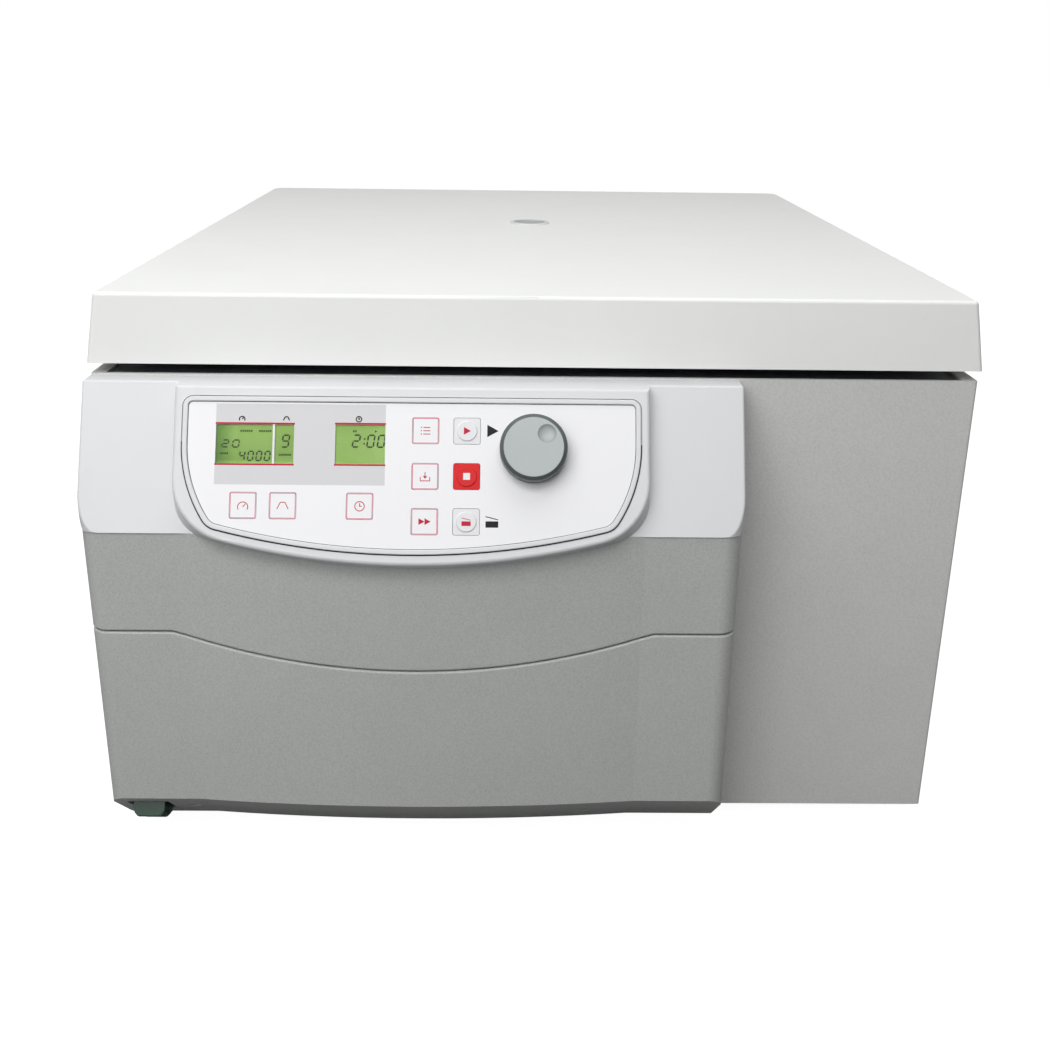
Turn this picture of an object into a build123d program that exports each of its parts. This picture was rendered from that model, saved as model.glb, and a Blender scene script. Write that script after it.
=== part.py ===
from build123d import *
import math
import os

os.makedirs("parts", exist_ok=True)

# Microplate centrifuge, all sizes in millimetres.
# The pieces are drawn in the casing's own frame: X to the right and Y to the back,
# both from the middle of the casing's front sheet, and Z up from its bottom edge.
# save() moves them into the part's frame, which starts at the middle of the footprint.

# ---------------------------------------------------------------- clearances
FIT = 0.05  # running fit and slide-in fit, on the radius or each side
GAP = 0.3  # pieces that only lie close to each other
CUT = 5.0  # how far a cutting body runs past what it cuts
FAR = 400.0  # well outside the casing

# ---------------------------------------------------------------- casing
CASING_W = 540.0
CASING_D = 640.0
CASING_H = 300.0
SHEET = 1.5
BEND_R = 2.0
FLANGE_SIDE = 8.5
FLANGE_FRONT = 3.0
BASE_T = 2.0
BASE_LIP = 15.0
DECK_T = 2.0
FOOT_R = 18.0
FOOT_H = 12.0
FOOT_BEVEL = 2.0
FOOT_INSET = 50.0
FOOT_STUD_R = 3.0
FOOT_STUD_H = 7.0
WIRING_W = 230.0
WIRING_H = 60.0
WIRING_DROP = 15.0
MAINS_CUT_LOW = 18.0
MAINS_CUT_HIGH = 60.0

LEFT_X = -CASING_W / 2
RIGHT_X = CASING_W / 2
BACK_WALL = CASING_D - SHEET
DECK_TOP = CASING_H - SHEET
DECK_BOTTOM = DECK_TOP - DECK_T

# ---------------------------------------------------------------- lid
LID_GAP = 6.5
LID_H = 41.7
LID_SIDE_LIP = 1.6
LID_FRONT_LIP = 1.5
LID_TAPER = 7.9
LID_FRONT_R = 2.6
LID_BACK_R = 12.0
LID_EDGE_R = 2.4
LID_RETURN = 12.0
PAN_T = 1.5
PAN_RIM = 14.0
WINDOW_R = 12.5
WINDOW_WALL = 2.5
WINDOW_LIP = 1.2
WINDOW_LIP_W = 2.0
WINDOW_LIP_BEVEL = 0.8
WINDOW_T = 3.0
WINDOW_SEAT = 1.0
WINDOW_SINK = 0.4

LID_BOTTOM = CASING_H + LID_GAP
LID_TOP = LID_BOTTOM + LID_H
PAN_BOTTOM = LID_BOTTOM + SHEET
PAN_TOP = PAN_BOTTOM + PAN_T
WINDOW_TOP = LID_TOP + WINDOW_LIP

# ---------------------------------------------------------------- chamber and motor
ROTOR_OFFSET = 37.0  # how far the rotor stands behind the middle of the casing
BOWL_R = 200.0
BOWL_T = 1.2
BOWL_FLOOR = 104.0
BOWL_CORNER = 25.0
BOWL_RIM = 12.0
RING_SPACE = 14.0
RING_T = 6.0
GASKET_LIP = 2.0
GASKET_SETBACK = 1.0
BOOT_R = 28.0
BOOT_NECK = 4.0
BOOT_FLANGE = 6.0
BOOT_T = 2.0

MOTOR_R = 62.0
MOTOR_BOTTOM = 22.0
MOTOR_SPACE = 12.0
MOTOR_BOSS_R = 20.0
MOTOR_BOSS_H = 14.0
MOTOR_CAVITY_R = 15.0
MOTOR_CAVITY_SPACE = 4.0
MOTOR_GROOVES = 5
MOTOR_GROOVE_W = 4.0
MOTOR_GROOVE_PITCH = 10.0
MOTOR_PLATE = 180.0
MOTOR_PLATE_T = 5.0
DAMPER_R = 15.0
DAMPER_OFFSET = 68.0
SHAFT_R = 9.0
SHAFT_DEPTH = 22.0

ROTOR_Y = CASING_D / 2 + ROTOR_OFFSET
RING_R = BOWL_R + RING_SPACE + RING_T
MOTOR_TOP = BOWL_FLOOR - MOTOR_SPACE
SHAFT_BOTTOM = MOTOR_TOP - SHAFT_DEPTH

# ---------------------------------------------------------------- rotor and buckets
PLATE_LENGTH = 127.76
PLATE_WIDTH = 85.48
PLATE_CLEARANCE = 0.8
BUCKET_WALL = 2.0
BUCKET_FLOOR = 2.5
BUCKET_DEPTH = 52.0
BUCKET_CORNER = 5.0
PIVOT_DROP = 71.5
PIVOT_X = 100.0
TRUNNION_R = 6.0
TRUNNION_RISE = 8.0
TRUNNION_INSET = 2.0
EAR_T = 5.0
EAR_R = 14.0
BEAM_T = 12.0
BEAM_H = 30.0
BEAM_END = 24.0
BEAM_ROUND = 9.0
BEAM_CLEARANCE = 1.2
BEAM_HOLE_R = 9.0
HUB_R = 28.0
HUB_H = 48.0
CROSS_BAR_HALF = 22.0
CROSS_BAR_DROP = 6.0
NUT_R = 19.0
NUT_H = 16.0
NUT_THREAD_R = 6.0
NUT_THREAD_SINK = 2.0
NUT_BEVEL = 2.0
NUT_FLUTES = 12
NUT_FLUTE_R = 2.0

PIVOT_Z = DECK_BOTTOM - PIVOT_DROP
YOKE_BOTTOM = PIVOT_Z - BEAM_H / 2
YOKE_TOP = PIVOT_Z + BEAM_H / 2
HUB_TOP = YOKE_BOTTOM + HUB_H
POCKET_HALF_X = PLATE_WIDTH / 2 + PLATE_CLEARANCE
POCKET_HALF_Y = PLATE_LENGTH / 2 + PLATE_CLEARANCE
POCKET_TOP = PIVOT_Z - TRUNNION_RISE
POCKET_BOTTOM = POCKET_TOP - BUCKET_DEPTH
BEAM_INNER = POCKET_HALF_Y + EAR_T + BEAM_CLEARANCE

# ---------------------------------------------------------------- front covers
COVER_FRONT = 54.5
COVER_WALL = 3.0
COVER_CORNER = 11.5
BARE_FRONT = 146.6  # sheet that shows beside the cover
BULGE_HALF = 138.3
BULGE_RISE = 8.0
BEVEL = 36.4
BEVEL_DEPTH = 42.0
SEAM_Z = 153.5
SEAM_HALF = 146.0
SEAM_DIP = 22.0
SEAM_GAP = 1.0
SEAM_ROUND = 1.2
TONGUE_H = 5.0
TONGUE_T = 1.5
SCREW_TO_SWITCH = 26.7
SCREW_TO_END = 89.9
SCREW_R = 2.0
SCREW_LENGTH = 10.0
SCREW_HEAD_R = 4.0
SCREW_HEAD_H = 1.8
SCREW_SINK = 2.4

CAP_TOP_SINK = 1.0
CAP_H = 81.3
CAP_T = 4.0
CAP_PROUD = 0.9
CAP_SIDE_ROUND = 1.5

COVER_RIGHT = RIGHT_X - BARE_FRONT
CENTRE_X = (LEFT_X + COVER_RIGHT) / 2
CAP_TOP = CASING_H - CAP_TOP_SINK
CAP_LOW = CAP_TOP - CAP_H
COVER_TOP = CAP_TOP - COVER_WALL
BEVEL_SLOPE = math.hypot(BEVEL, BEVEL_DEPTH)

# ---------------------------------------------------------------- console
# Distances down the leaning face are measured from its top edge.
CONSOLE_TILT = 27.0
CONSOLE_REACH = 25.2
CONSOLE_HALF = 139.7
CONSOLE_SIDE = 83.4
CONSOLE_LOW = 105.1
CONSOLE_CORNER = 40.0
CONSOLE_TOP_CORNER = 5.0
CONSOLE_ROUND = 2.0
ROOT_DEPTH = 24.0
ROOT_HALF = 141.0
ROOT_SIDE = 84.0
ROOT_LOW = 106.7
ROOT_CORNER = 4.0
ROOT_LENGTH = 50.0

PANEL_HALF = 131.4
PANEL_TOP = 9.0
PANEL_STRAIGHT = 33.0
PANEL_WAIST = 127.9
PANEL_WAIST_LOW = 57.3
PANEL_FOOT = 116.2
PANEL_SIDE = 81.0
PANEL_LOW = 95.8
PANEL_CORNER = 9.0
PANEL_TOP_CORNER = 3.0
WAIST_GROWTH = (0.97, 0.24)  # how far the waist moves when the outline grows by one
FOOT_GROWTH = (0.69, 0.86)  # how far the lower corner moves
PANEL_T = 1.6
TRIM_W = 3.0
TRIM_GAP = 0.6
TRIM_RISE = 0.9
TRIM_ROUND = 0.7
LEDGE = 2.5

CONSOLE_SIN = math.sin(math.radians(CONSOLE_TILT))
CONSOLE_COS = math.cos(math.radians(CONSOLE_TILT))
CAP_LOW_REACH = COVER_FRONT + CAP_PROUD
CAP_TOP_REACH = CAP_LOW_REACH - CAP_H * CONSOLE_SIN / CONSOLE_COS
FACE = Plane(
    origin=(CENTRE_X, -CONSOLE_REACH, CAP_TOP),
    x_dir=(1, 0, 0),
    z_dir=(0, -CONSOLE_COS, CONSOLE_SIN),
)
FACE_AXIS = Axis(FACE.origin, FACE.z_dir)

# ---------------------------------------------------------------- control panel
KEY = 15.4
KEY_CORNER = 1.2
KEY_GAP = 0.25
KEY_T = 1.8
KEY_TRAVEL = 0.5
DOME_H = 0.7
DOME_R = 6.0
DOME_BEVEL = 0.4
SWITCH_POST_R = 4.0
SWITCH_POST_GAP = 0.4
KEYS = {  # middle of each key, across from the panel's middle and down
    "key_program": (7.8, 25.5),
    "key_store": (7.8, 52.6),
    "key_quick": (7.8, 79.2),
    "key_start": (32.1, 25.5),
    "key_stop": (32.1, 52.5),
    "key_lid": (32.1, 79.2),
    "key_speed": (-97.8, 70.5),
    "key_ramp": (-74.7, 70.5),
    "key_time": (-30.0, 70.5),
}
DOMED_KEYS = ("key_start", "key_stop", "key_lid")
DISPLAYS = {  # middle, width and height of each display's pane
    "left": (-91.95, 34.15, 45.5, 23.2),
    "right": (-30.45, 33.95, 29.1, 23.4),
}
LENS_T = 0.8
LENS_SINK = 0.1
DISPLAY_T = 4.0
DISPLAY_RIM = 4.0
DISPLAY_FIT = 0.1
DISPLAY_LEG_INSET = 2.0
BOARD_DEPTH = 8.0
BOARD_T = 1.6
BOARD_INSET = 4.0
BOARD_CLEARANCE = 1.0
BOARD_POST_R = 2.5
BOARD_POSTS = ((-122.0, 28.0), (-53.0, 80.0), (117.0, 20.0), (102.0, 70.0))

KNOB_X = 71.1
KNOB_DOWN = 36.5
KNOB_R = 19.8
KNOB_FACE_R = 17.4
KNOB_WAIST_R = 19.4
KNOB_SKIRT_H = 9.4
KNOB_H = 11.5
KNOB_GAP = 0.4
KNOB_ROUND = 0.5
DIMPLE_SPHERE = 11.0
DIMPLE_DEPTH = 1.45
DIMPLE_X = 7.6
DIMPLE_UP = 7.9
SPINDLE_R = 3.0
SPINDLE_HOLE_R = 4.0
SPINDLE_END = 1.5
ENCODER = 14.0
ENCODER_FLOOR = 1.0

# ---------------------------------------------------------------- mains switch
SWITCH_INSET = 21.5
SWITCH_W = 27.0
SWITCH_L = 30.0
SWITCH_SINK = 1.5
SWITCH_RIM = 1.7
SWITCH_RIM_T = 1.5
SWITCH_BODY = 22.0
SWITCH_WELL = 14.0
ROCKER_W = 20.0
ROCKER_L = 21.0
ROCKER_RISE = 4.2
ROCKER_DEPTH = 8.0
ROCKER_AXIS = 4.0
ROCKER_TILT = 7.0
ROCKER_SIDE_GAP = 0.4
ROCKER_PIN_R = 1.5
ROCKER_PIN_REACH = 1.0
ROCKER_END_GAP = 0.8

SWITCH_X = LEFT_X + SWITCH_INSET

# ---------------------------------------------------------------- hinges and gas struts
HINGE_REACH = 6.5
HINGE_RISE = 3.3
HINGE_R = 4.5
HINGE_PIN_R = 2.0
HINGE_X = 180.0
HINGE_W = 60.0
HINGE_LEAF_T = 2.0
HINGE_LEAF_L = 34.0
HINGE_LEAF_DROP = 35.0
HINGE_TOP_DROP = 3.0
KNUCKLE_W = 18.0
KNUCKLE_GAP = 0.5

STRUT_INSET = 26.0
STRUT_ARM = 90.0
STRUT_SPREAD = 70.0
STRUT_TOP_DROP = 10.0
STRUT_R = 9.0
STRUT_BORE_R = 7.5
STRUT_ROD_R = 4.0
STRUT_PIN_R = 4.0
STRUT_EYE_R = 8.0
STRUT_EYE_W = 12.0
STRUT_EYE_WALL = 3.0
STRUT_ROOT = 2.0
STRUT_GLAND = 4.0
STRUT_NECK = 7.0
STRUT_PISTON_T = 3.0
STRUT_PISTON_GAP = 1.0
STRUT_FLOAT = 7.5
STRUT_SIDE_GAP = 1.0
STRUT_SLOT_SIDE = 12.0
STRUT_SLOT_FRONT = 17.0
STRUT_SLOT_BACK = 4.0
BRACKET_T = 3.0
BRACKET_HALF = 10.0
BRACKET_W = 16.0
BRACKET_FOOT_T = 1.0

HINGE_Y = CASING_D + HINGE_REACH
HINGE_Z = CASING_H + HINGE_RISE
STRUT_X = RIGHT_X - STRUT_INSET
STRUT_LENGTH = 2 * STRUT_ARM * math.sin(math.radians(STRUT_SPREAD / 2))
STRUT_ROD_END = STRUT_LENGTH - STRUT_EYE_R - STRUT_ROOT
STRUT_BODY = STRUT_ROD_END - STRUT_NECK

# ---------------------------------------------------------------- lid lock
LOCK_X = 170.0
LOCK_Y = 80.0
LOCK_DROP = 44.5
LOCK_SHAFT_R = 5.0
LOCK_SHAFT_HALF = 205.0
LOCK_SWING = 35.0
STRIKER_Y = 60.0
STRIKER_DROP = 26.5
STRIKER_R = 3.0
STRIKER_HALF = 14.0
STRIKER_PLATE_T = 2.0
STRIKER_PLATE_RIM = 6.0
STRIKER_PLATE_HALF = 10.0
HOOK_T = 8.0
HOOK_REACH = 6.0
HOOK_CLEARANCE = 1.5
HOOK_NOSE = 8.0
HOOK_BACK = 7.0
HOOK_THROAT = 9.5
LOCK_SLOT_SIDE = 7.0
LOCK_SLOT_FRONT = 16.0
LOCK_SLOT_BACK = 12.0
LOCK_BRACKET_X = 24.0
LOCK_BRACKET_T = 3.0
LOCK_BRACKET_HALF = 20.0
LOCK_BRACKET_LOW = 12.0
LOCK_TAB = 12.0
GEARBOX_W = 30.0
GEARBOX_HALF = 16.0
GEARBOX_GRIP = 9.0
LOCK_MOTOR_R = 11.0
LOCK_MOTOR_H = 34.0
LOCK_MOTOR_X = 20.0

LOCK_Z = DECK_BOTTOM - LOCK_DROP
STRIKER_Z = DECK_BOTTOM - STRIKER_DROP

# ---------------------------------------------------------------- back: fan, inlet, vents
FAN_INSET = 120.0
FAN_Z = 150.0
FAN_SIZE = 119.0
FAN_T = 25.0
FAN_BORE_R = 56.0
FAN_HUB_R = 20.0
FAN_HUB_T = 4.0
FAN_HUB_GAP = 1.0
FAN_SHAFT_R = 3.0
FAN_SHAFT_L = 18.0
FAN_ROTOR_T = 16.0
FAN_BLADES = 7
FAN_BLADE_T = 1.6
FAN_BLADE_ANGLE = 35.0
FAN_TIP_GAP = 1.5
FAN_SPOKE = 6.0
FAN_SPOKE_T = 3.0
GRILLE_LAP = 1.0
GRILLE_RINGS = 5
GRILLE_BAR = 2.0

INLET_INSET = 100.0
INLET_Z = 60.0
INLET_W = 28.0
INLET_H = 48.0
INLET_DEPTH = 24.0
INLET_RIM = 3.0
INLET_RIM_T = 2.0
SOCKET_UP = 9.0
SOCKET_W = 24.0
SOCKET_H = 16.0
SOCKET_DEPTH = 16.0
SOCKET_PINS = ((-7.0, -2.0), (0.0, 2.0), (7.0, -2.0))
SOCKET_PIN_W = 2.0
SOCKET_PIN_H = 4.0
FUSE_DOWN = 12.0
FUSE_W = 22.0
FUSE_H = 12.0
FUSE_SINK = 1.0
VENT_ROWS = 9
VENT_PITCH = 11.0
VENT_W = 110.0
VENT_H = 4.0
VENT_Z = 150.0

FAN_X = RIGHT_X - FAN_INSET
INLET_X = LEFT_X + INLET_INSET

# ---------------------------------------------------------------- drive board
BOARD_X = 20.0
BOARD_Y = 60.0
BOARD_W = 200.0
BOARD_H = 120.0
BOARD_LIFT = 8.0
SINK_X = 20.0
SINK_Z = 30.0
SINK_W = 90.0
SINK_H = 80.0
SINK_BASE = 6.4
SINK_FIN_L = 26.0
SINK_FIN_T = 2.0
SINK_FINS = 9
CAN_X = 150.0
CAN_Z = (50.0, 90.0)
CAN_R = 15.0
CAN_L = 38.0
FOOT_TAB = 8.0
FOOT_TAB_L = 20.0

# ---------------------------------------------------------------- the part's frame
FRONT_Y = -CONSOLE_REACH - CONSOLE_LOW * CONSOLE_SIN
BACK_Y = HINGE_Y + HINGE_R
TO_FRAME = Location((0, -(FRONT_Y + BACK_Y) / 2, FOOT_H))
UP = (0, 0, 1)
RIGHT = (1, 0, 0)
BACKWARD = (0, 1, 0)
ROTOR_AXIS = (0, ROTOR_Y)
FROM_BASE = (Align.CENTER, Align.CENTER, Align.MIN)
FROM_TOP = (Align.CENTER, Align.CENTER, Align.MAX)


# ---------------------------------------------------------------- helpers
def save(name, *pieces):
    """Write the solids of one node, moved into the part's frame."""
    solids = [solid for piece in pieces for solid in piece.solids()]
    export_step(Compound(solids).moved(TO_FRAME), f"parts/{name}.step")


def block(x, y, z):
    """A box from its ranges along the three axes."""
    centre = [(low + high) / 2 for low, high in (x, y, z)]
    return Pos(*centre) * Box(*[high - low for low, high in (x, y, z)])


def around(middle, half):
    return (middle - half, middle + half)


def cylinder(radius, start, axis, length):
    """A cylinder that starts at a point and runs along an axis."""
    return Plane(origin=start, z_dir=axis) * Cylinder(radius, length, align=FROM_BASE)


def tube(outer, inner, start, axis, length):
    """A hollow cylinder."""
    return cylinder(outer, start, axis, length) - cylinder(inner, start, axis, length)


def front_corners(shape):
    return shape.edges().filter_by(Axis.Z).group_by(Axis.Y)[0]


def both_sides(build):
    """A piece on the right and its mirror image on the left."""
    return [build(), mirror(build(), Plane.YZ)]


# ---------------------------------------------------------------- casing
def foot_places():
    x = RIGHT_X - FOOT_INSET
    return [(side * x, y) for side in (-1, 1) for y in (FOOT_INSET, CASING_D - FOOT_INSET)]


def base_plate():
    x, y = (LEFT_X + SHEET, RIGHT_X - SHEET), (SHEET, BACK_WALL)
    tray = fillet(front_corners(block(x, y, (0, BASE_LIP))), BEND_R)
    inside = block(
        (x[0] + BASE_T, x[1] - BASE_T), (y[0] + BASE_T, y[1] - BASE_T), (BASE_T, BASE_LIP + CUT)
    )
    tray -= inside
    for foot_x, foot_y in foot_places():
        tray -= cylinder(FOOT_STUD_R, (foot_x, foot_y, -CUT), UP, BASE_T + 2 * CUT)
    return tray


def feet():
    pads = []
    for x, y in foot_places():
        pad = cylinder(FOOT_R, (x, y, -FOOT_H), UP, FOOT_H)
        pad = chamfer(pad.edges().group_by(Axis.Z)[0], FOOT_BEVEL)
        pads.append(pad + cylinder(FOOT_STUD_R, (x, y, -FOOT_BEVEL), UP, FOOT_BEVEL + FOOT_STUD_H))
    return pads


def casing_shell():
    """Sides and front bent from one sheet, with a flange around the top."""
    outer = block((LEFT_X, RIGHT_X), (0, CASING_D), (0, CASING_H))
    inner = block((LEFT_X + SHEET, RIGHT_X - SHEET), (SHEET, CASING_D + CUT), (-CUT, DECK_TOP))
    shell = fillet(front_corners(outer), BEND_R) - fillet(front_corners(inner), BEND_R - SHEET)
    shell -= block(
        (LEFT_X + FLANGE_SIDE, RIGHT_X - FLANGE_SIDE),
        (FLANGE_FRONT, CASING_D + CUT),
        (DECK_TOP - CUT, CASING_H + CUT),
    )
    wiring_top = CASING_H - WIRING_DROP
    wiring = block(
        around(CENTRE_X, WIRING_W / 2), (-CUT, CUT), (wiring_top - WIRING_H, wiring_top)
    )
    mains = block(around(SWITCH_X, SWITCH_W / 2), (-CUT, CUT), (MAINS_CUT_LOW, MAINS_CUT_HIGH))
    return shell - wiring - mains


def rear_panel():
    y = (BACK_WALL, CASING_D)
    through = (BACK_WALL - CUT, CASING_D + CUT)
    panel = block((LEFT_X + SHEET, RIGHT_X - SHEET), y, (0, DECK_TOP))
    panel += block((LEFT_X + FLANGE_SIDE, RIGHT_X - FLANGE_SIDE), y, (DECK_TOP, CASING_H))
    panel -= cylinder(FAN_BORE_R - GRILLE_LAP, (FAN_X, through[0], FAN_Z), BACKWARD, through[1] - through[0])
    panel += grille()
    panel -= block(around(INLET_X, INLET_W / 2), through, around(INLET_Z, INLET_H / 2))
    for row in range(VENT_ROWS):
        z = VENT_Z + (row - (VENT_ROWS - 1) / 2) * VENT_PITCH
        panel -= block(around(INLET_X, VENT_W / 2), through, around(z, VENT_H / 2))
    return panel


def grille():
    """Finger guard of rings and two bars across the fan's opening."""
    centre = (FAN_X, BACK_WALL, FAN_Z)
    reach = FAN_BORE_R - GRILLE_LAP
    step = reach / GRILLE_RINGS
    guard = cylinder(step / 2, centre, BACKWARD, SHEET)
    for ring in range(1, GRILLE_RINGS):
        middle = (ring + 0.5) * step
        guard += tube(middle + GRILLE_BAR / 2, middle - GRILLE_BAR / 2, centre, BACKWARD, SHEET)
    bar = block(around(0, FAN_BORE_R), (BACK_WALL, CASING_D), around(0, GRILLE_BAR))
    for angle in (45, 135):
        guard += Pos(FAN_X, 0, FAN_Z) * Rot(0, angle, 0) * bar
    return guard


def deck_plate():
    """Top deck with the chamber's mouth and the slots for the strikers and the struts."""
    through = (DECK_BOTTOM - CUT, DECK_TOP + CUT)
    deck = block((LEFT_X + SHEET, RIGHT_X - SHEET), (SHEET, BACK_WALL), (DECK_BOTTOM, DECK_TOP))
    deck = fillet(front_corners(deck), BEND_R)
    deck -= cylinder(BOWL_R + BOWL_T, (*ROTOR_AXIS, through[0]), UP, through[1] - through[0])
    (top_y, _), (low_y, _) = strut_points()
    for side in (-1, 1):
        lock_x = around(side * LOCK_X, STRIKER_HALF + LOCK_SLOT_SIDE)
        deck -= block(lock_x, (STRIKER_Y - LOCK_SLOT_FRONT, LOCK_Y + LOCK_SLOT_BACK), through)
        strut_x = around(side * STRUT_X, STRUT_SLOT_SIDE)
        deck -= block(strut_x, (top_y - STRUT_SLOT_FRONT, low_y + STRUT_SLOT_BACK), through)
    return deck


# ---------------------------------------------------------------- chamber and motor
def guard_ring():
    return tube(RING_R, RING_R - RING_T, (*ROTOR_AXIS, BASE_T), UP, DECK_BOTTOM - BASE_T)


def chamber_bowl():
    outer = cylinder(BOWL_R + BOWL_T, (*ROTOR_AXIS, BOWL_FLOOR), UP, DECK_TOP - BOWL_FLOOR)
    outer = fillet(outer.edges().group_by(Axis.Z)[0], BOWL_CORNER)
    floor = BOWL_FLOOR + BOWL_T
    inner = cylinder(BOWL_R, (*ROTOR_AXIS, floor), UP, DECK_TOP + CUT - floor)
    inner = fillet(inner.edges().group_by(Axis.Z)[0], BOWL_CORNER - BOWL_T)
    rim = tube(BOWL_R + BOWL_RIM, BOWL_R, (*ROTOR_AXIS, DECK_TOP), UP, BOWL_T)
    mouth = cylinder(BOOT_R, (*ROTOR_AXIS, BOWL_FLOOR - CUT), UP, BOWL_T + 2 * CUT)
    return outer + rim - inner - mouth


def chamber_gasket():
    """Rubber ring over the bowl's rim that the closed lid lies on."""
    top = PAN_BOTTOM - GAP
    seat = DECK_TOP + BOWL_T
    rim = BOWL_R + BOWL_RIM
    ring = tube(rim + GASKET_LIP, BOWL_R + GASKET_SETBACK, (*ROTOR_AXIS, seat), UP, top - seat)
    return ring + tube(rim + GASKET_LIP, rim, (*ROTOR_AXIS, DECK_TOP), UP, BOWL_T)


def motor_boot():
    """Rubber seal between the bowl's floor and the motor's boss."""
    low, floor = MOTOR_TOP + BOOT_T, BOWL_FLOOR + BOWL_T
    points = [
        (MOTOR_BOSS_R, low), (BOOT_R - BOOT_NECK, low), (BOOT_R, BOWL_FLOOR), (BOOT_R, floor),
        (BOOT_R + BOOT_FLANGE, floor), (BOOT_R + BOOT_FLANGE, floor + BOOT_T), (MOTOR_BOSS_R, floor + BOOT_T),
    ]
    profile = make_face(Polyline(*[(r, 0, z) for r, z in points], close=True))
    return Pos(0, ROTOR_Y, 0) * revolve(profile, Axis.Z)


def motor_mount_plate():
    half = MOTOR_PLATE / 2
    return block(around(0, half), around(ROTOR_Y, half), (MOTOR_BOTTOM - MOTOR_PLATE_T, MOTOR_BOTTOM))


def motor_dampers():
    height = MOTOR_BOTTOM - MOTOR_PLATE_T - BASE_T
    offsets = (-DAMPER_OFFSET, DAMPER_OFFSET)
    places = [(x, ROTOR_Y + y, BASE_T) for x in offsets for y in offsets]
    return [cylinder(DAMPER_R, place, UP, height) for place in places]


def motor_housing():
    body = cylinder(MOTOR_R, (*ROTOR_AXIS, MOTOR_BOTTOM), UP, MOTOR_TOP - MOTOR_BOTTOM)
    for groove in range(MOTOR_GROOVES):
        z = MOTOR_BOTTOM + (groove + 1) * MOTOR_GROOVE_PITCH
        body -= tube(MOTOR_R + CUT, MOTOR_R - MOTOR_GROOVE_W, (*ROTOR_AXIS, z), UP, MOTOR_GROOVE_W)
    body += cylinder(MOTOR_BOSS_R, (*ROTOR_AXIS, MOTOR_TOP), UP, MOTOR_BOSS_H)
    cavity_floor = SHAFT_BOTTOM - MOTOR_CAVITY_SPACE
    body -= cylinder(MOTOR_CAVITY_R, (*ROTOR_AXIS, cavity_floor), UP, SHAFT_DEPTH)
    return body - cylinder(SHAFT_R + FIT, (*ROTOR_AXIS, SHAFT_BOTTOM), UP, SHAFT_DEPTH + MOTOR_BOSS_H + CUT)


# ---------------------------------------------------------------- rotor
def drive_shaft():
    shaft = cylinder(SHAFT_R, (*ROTOR_AXIS, SHAFT_BOTTOM), UP, HUB_TOP - SHAFT_BOTTOM)
    return shaft + cylinder(NUT_THREAD_R, (*ROTOR_AXIS, HUB_TOP), UP, NUT_H - NUT_THREAD_SINK)


def yoke_beam():
    """One beam, with an open slot for each bucket's trunnion."""
    x = PIVOT_X + BEAM_END
    y = (BEAM_INNER, BEAM_INNER + BEAM_T)
    through = (y[0] - CUT, y[1] + CUT)
    beam = block(around(0, x), y, (YOKE_BOTTOM, YOKE_TOP))
    beam = fillet(beam.edges().filter_by(Axis.Y), BEAM_ROUND)
    slot = TRUNNION_R + FIT
    for side in (-1, 1):
        pivot = (side * PIVOT_X, through[0], PIVOT_Z)
        beam -= cylinder(slot, pivot, BACKWARD, through[1] - through[0])
        beam -= block(around(side * PIVOT_X, slot), through, (PIVOT_Z, YOKE_TOP + CUT))
        hole = (side * PIVOT_X / 2, through[0], PIVOT_Z)
        beam -= cylinder(BEAM_HOLE_R, hole, BACKWARD, through[1] - through[0])
    return beam


def rotor_yoke():
    """Hub, cross bar and the two beams that carry the buckets."""
    beam = yoke_beam()
    yoke = beam + mirror(beam, Plane.XZ)
    cross_bar_z = (YOKE_BOTTOM, YOKE_TOP - CROSS_BAR_DROP)
    yoke += block(around(0, CROSS_BAR_HALF), around(0, BEAM_INNER), cross_bar_z)
    yoke += cylinder(HUB_R, (0, 0, YOKE_BOTTOM), UP, HUB_H)
    yoke -= cylinder(SHAFT_R, (0, 0, YOKE_BOTTOM - CUT), UP, HUB_H + 2 * CUT)
    return Pos(0, ROTOR_Y, 0) * yoke


def rotor_nut():
    nut = cylinder(NUT_R, (*ROTOR_AXIS, HUB_TOP), UP, NUT_H)
    nut = chamfer(nut.edges().group_by(Axis.Z)[-1], NUT_BEVEL)
    for flute in range(NUT_FLUTES):
        angle = 2 * math.pi * flute / NUT_FLUTES
        x, y = NUT_R * math.cos(angle), ROTOR_Y + NUT_R * math.sin(angle)
        nut -= cylinder(NUT_FLUTE_R, (x, y, HUB_TOP - CUT), UP, NUT_H + 2 * CUT)
    return nut - cylinder(NUT_THREAD_R, (*ROTOR_AXIS, HUB_TOP - CUT), UP, NUT_H + 2 * CUT)


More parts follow.
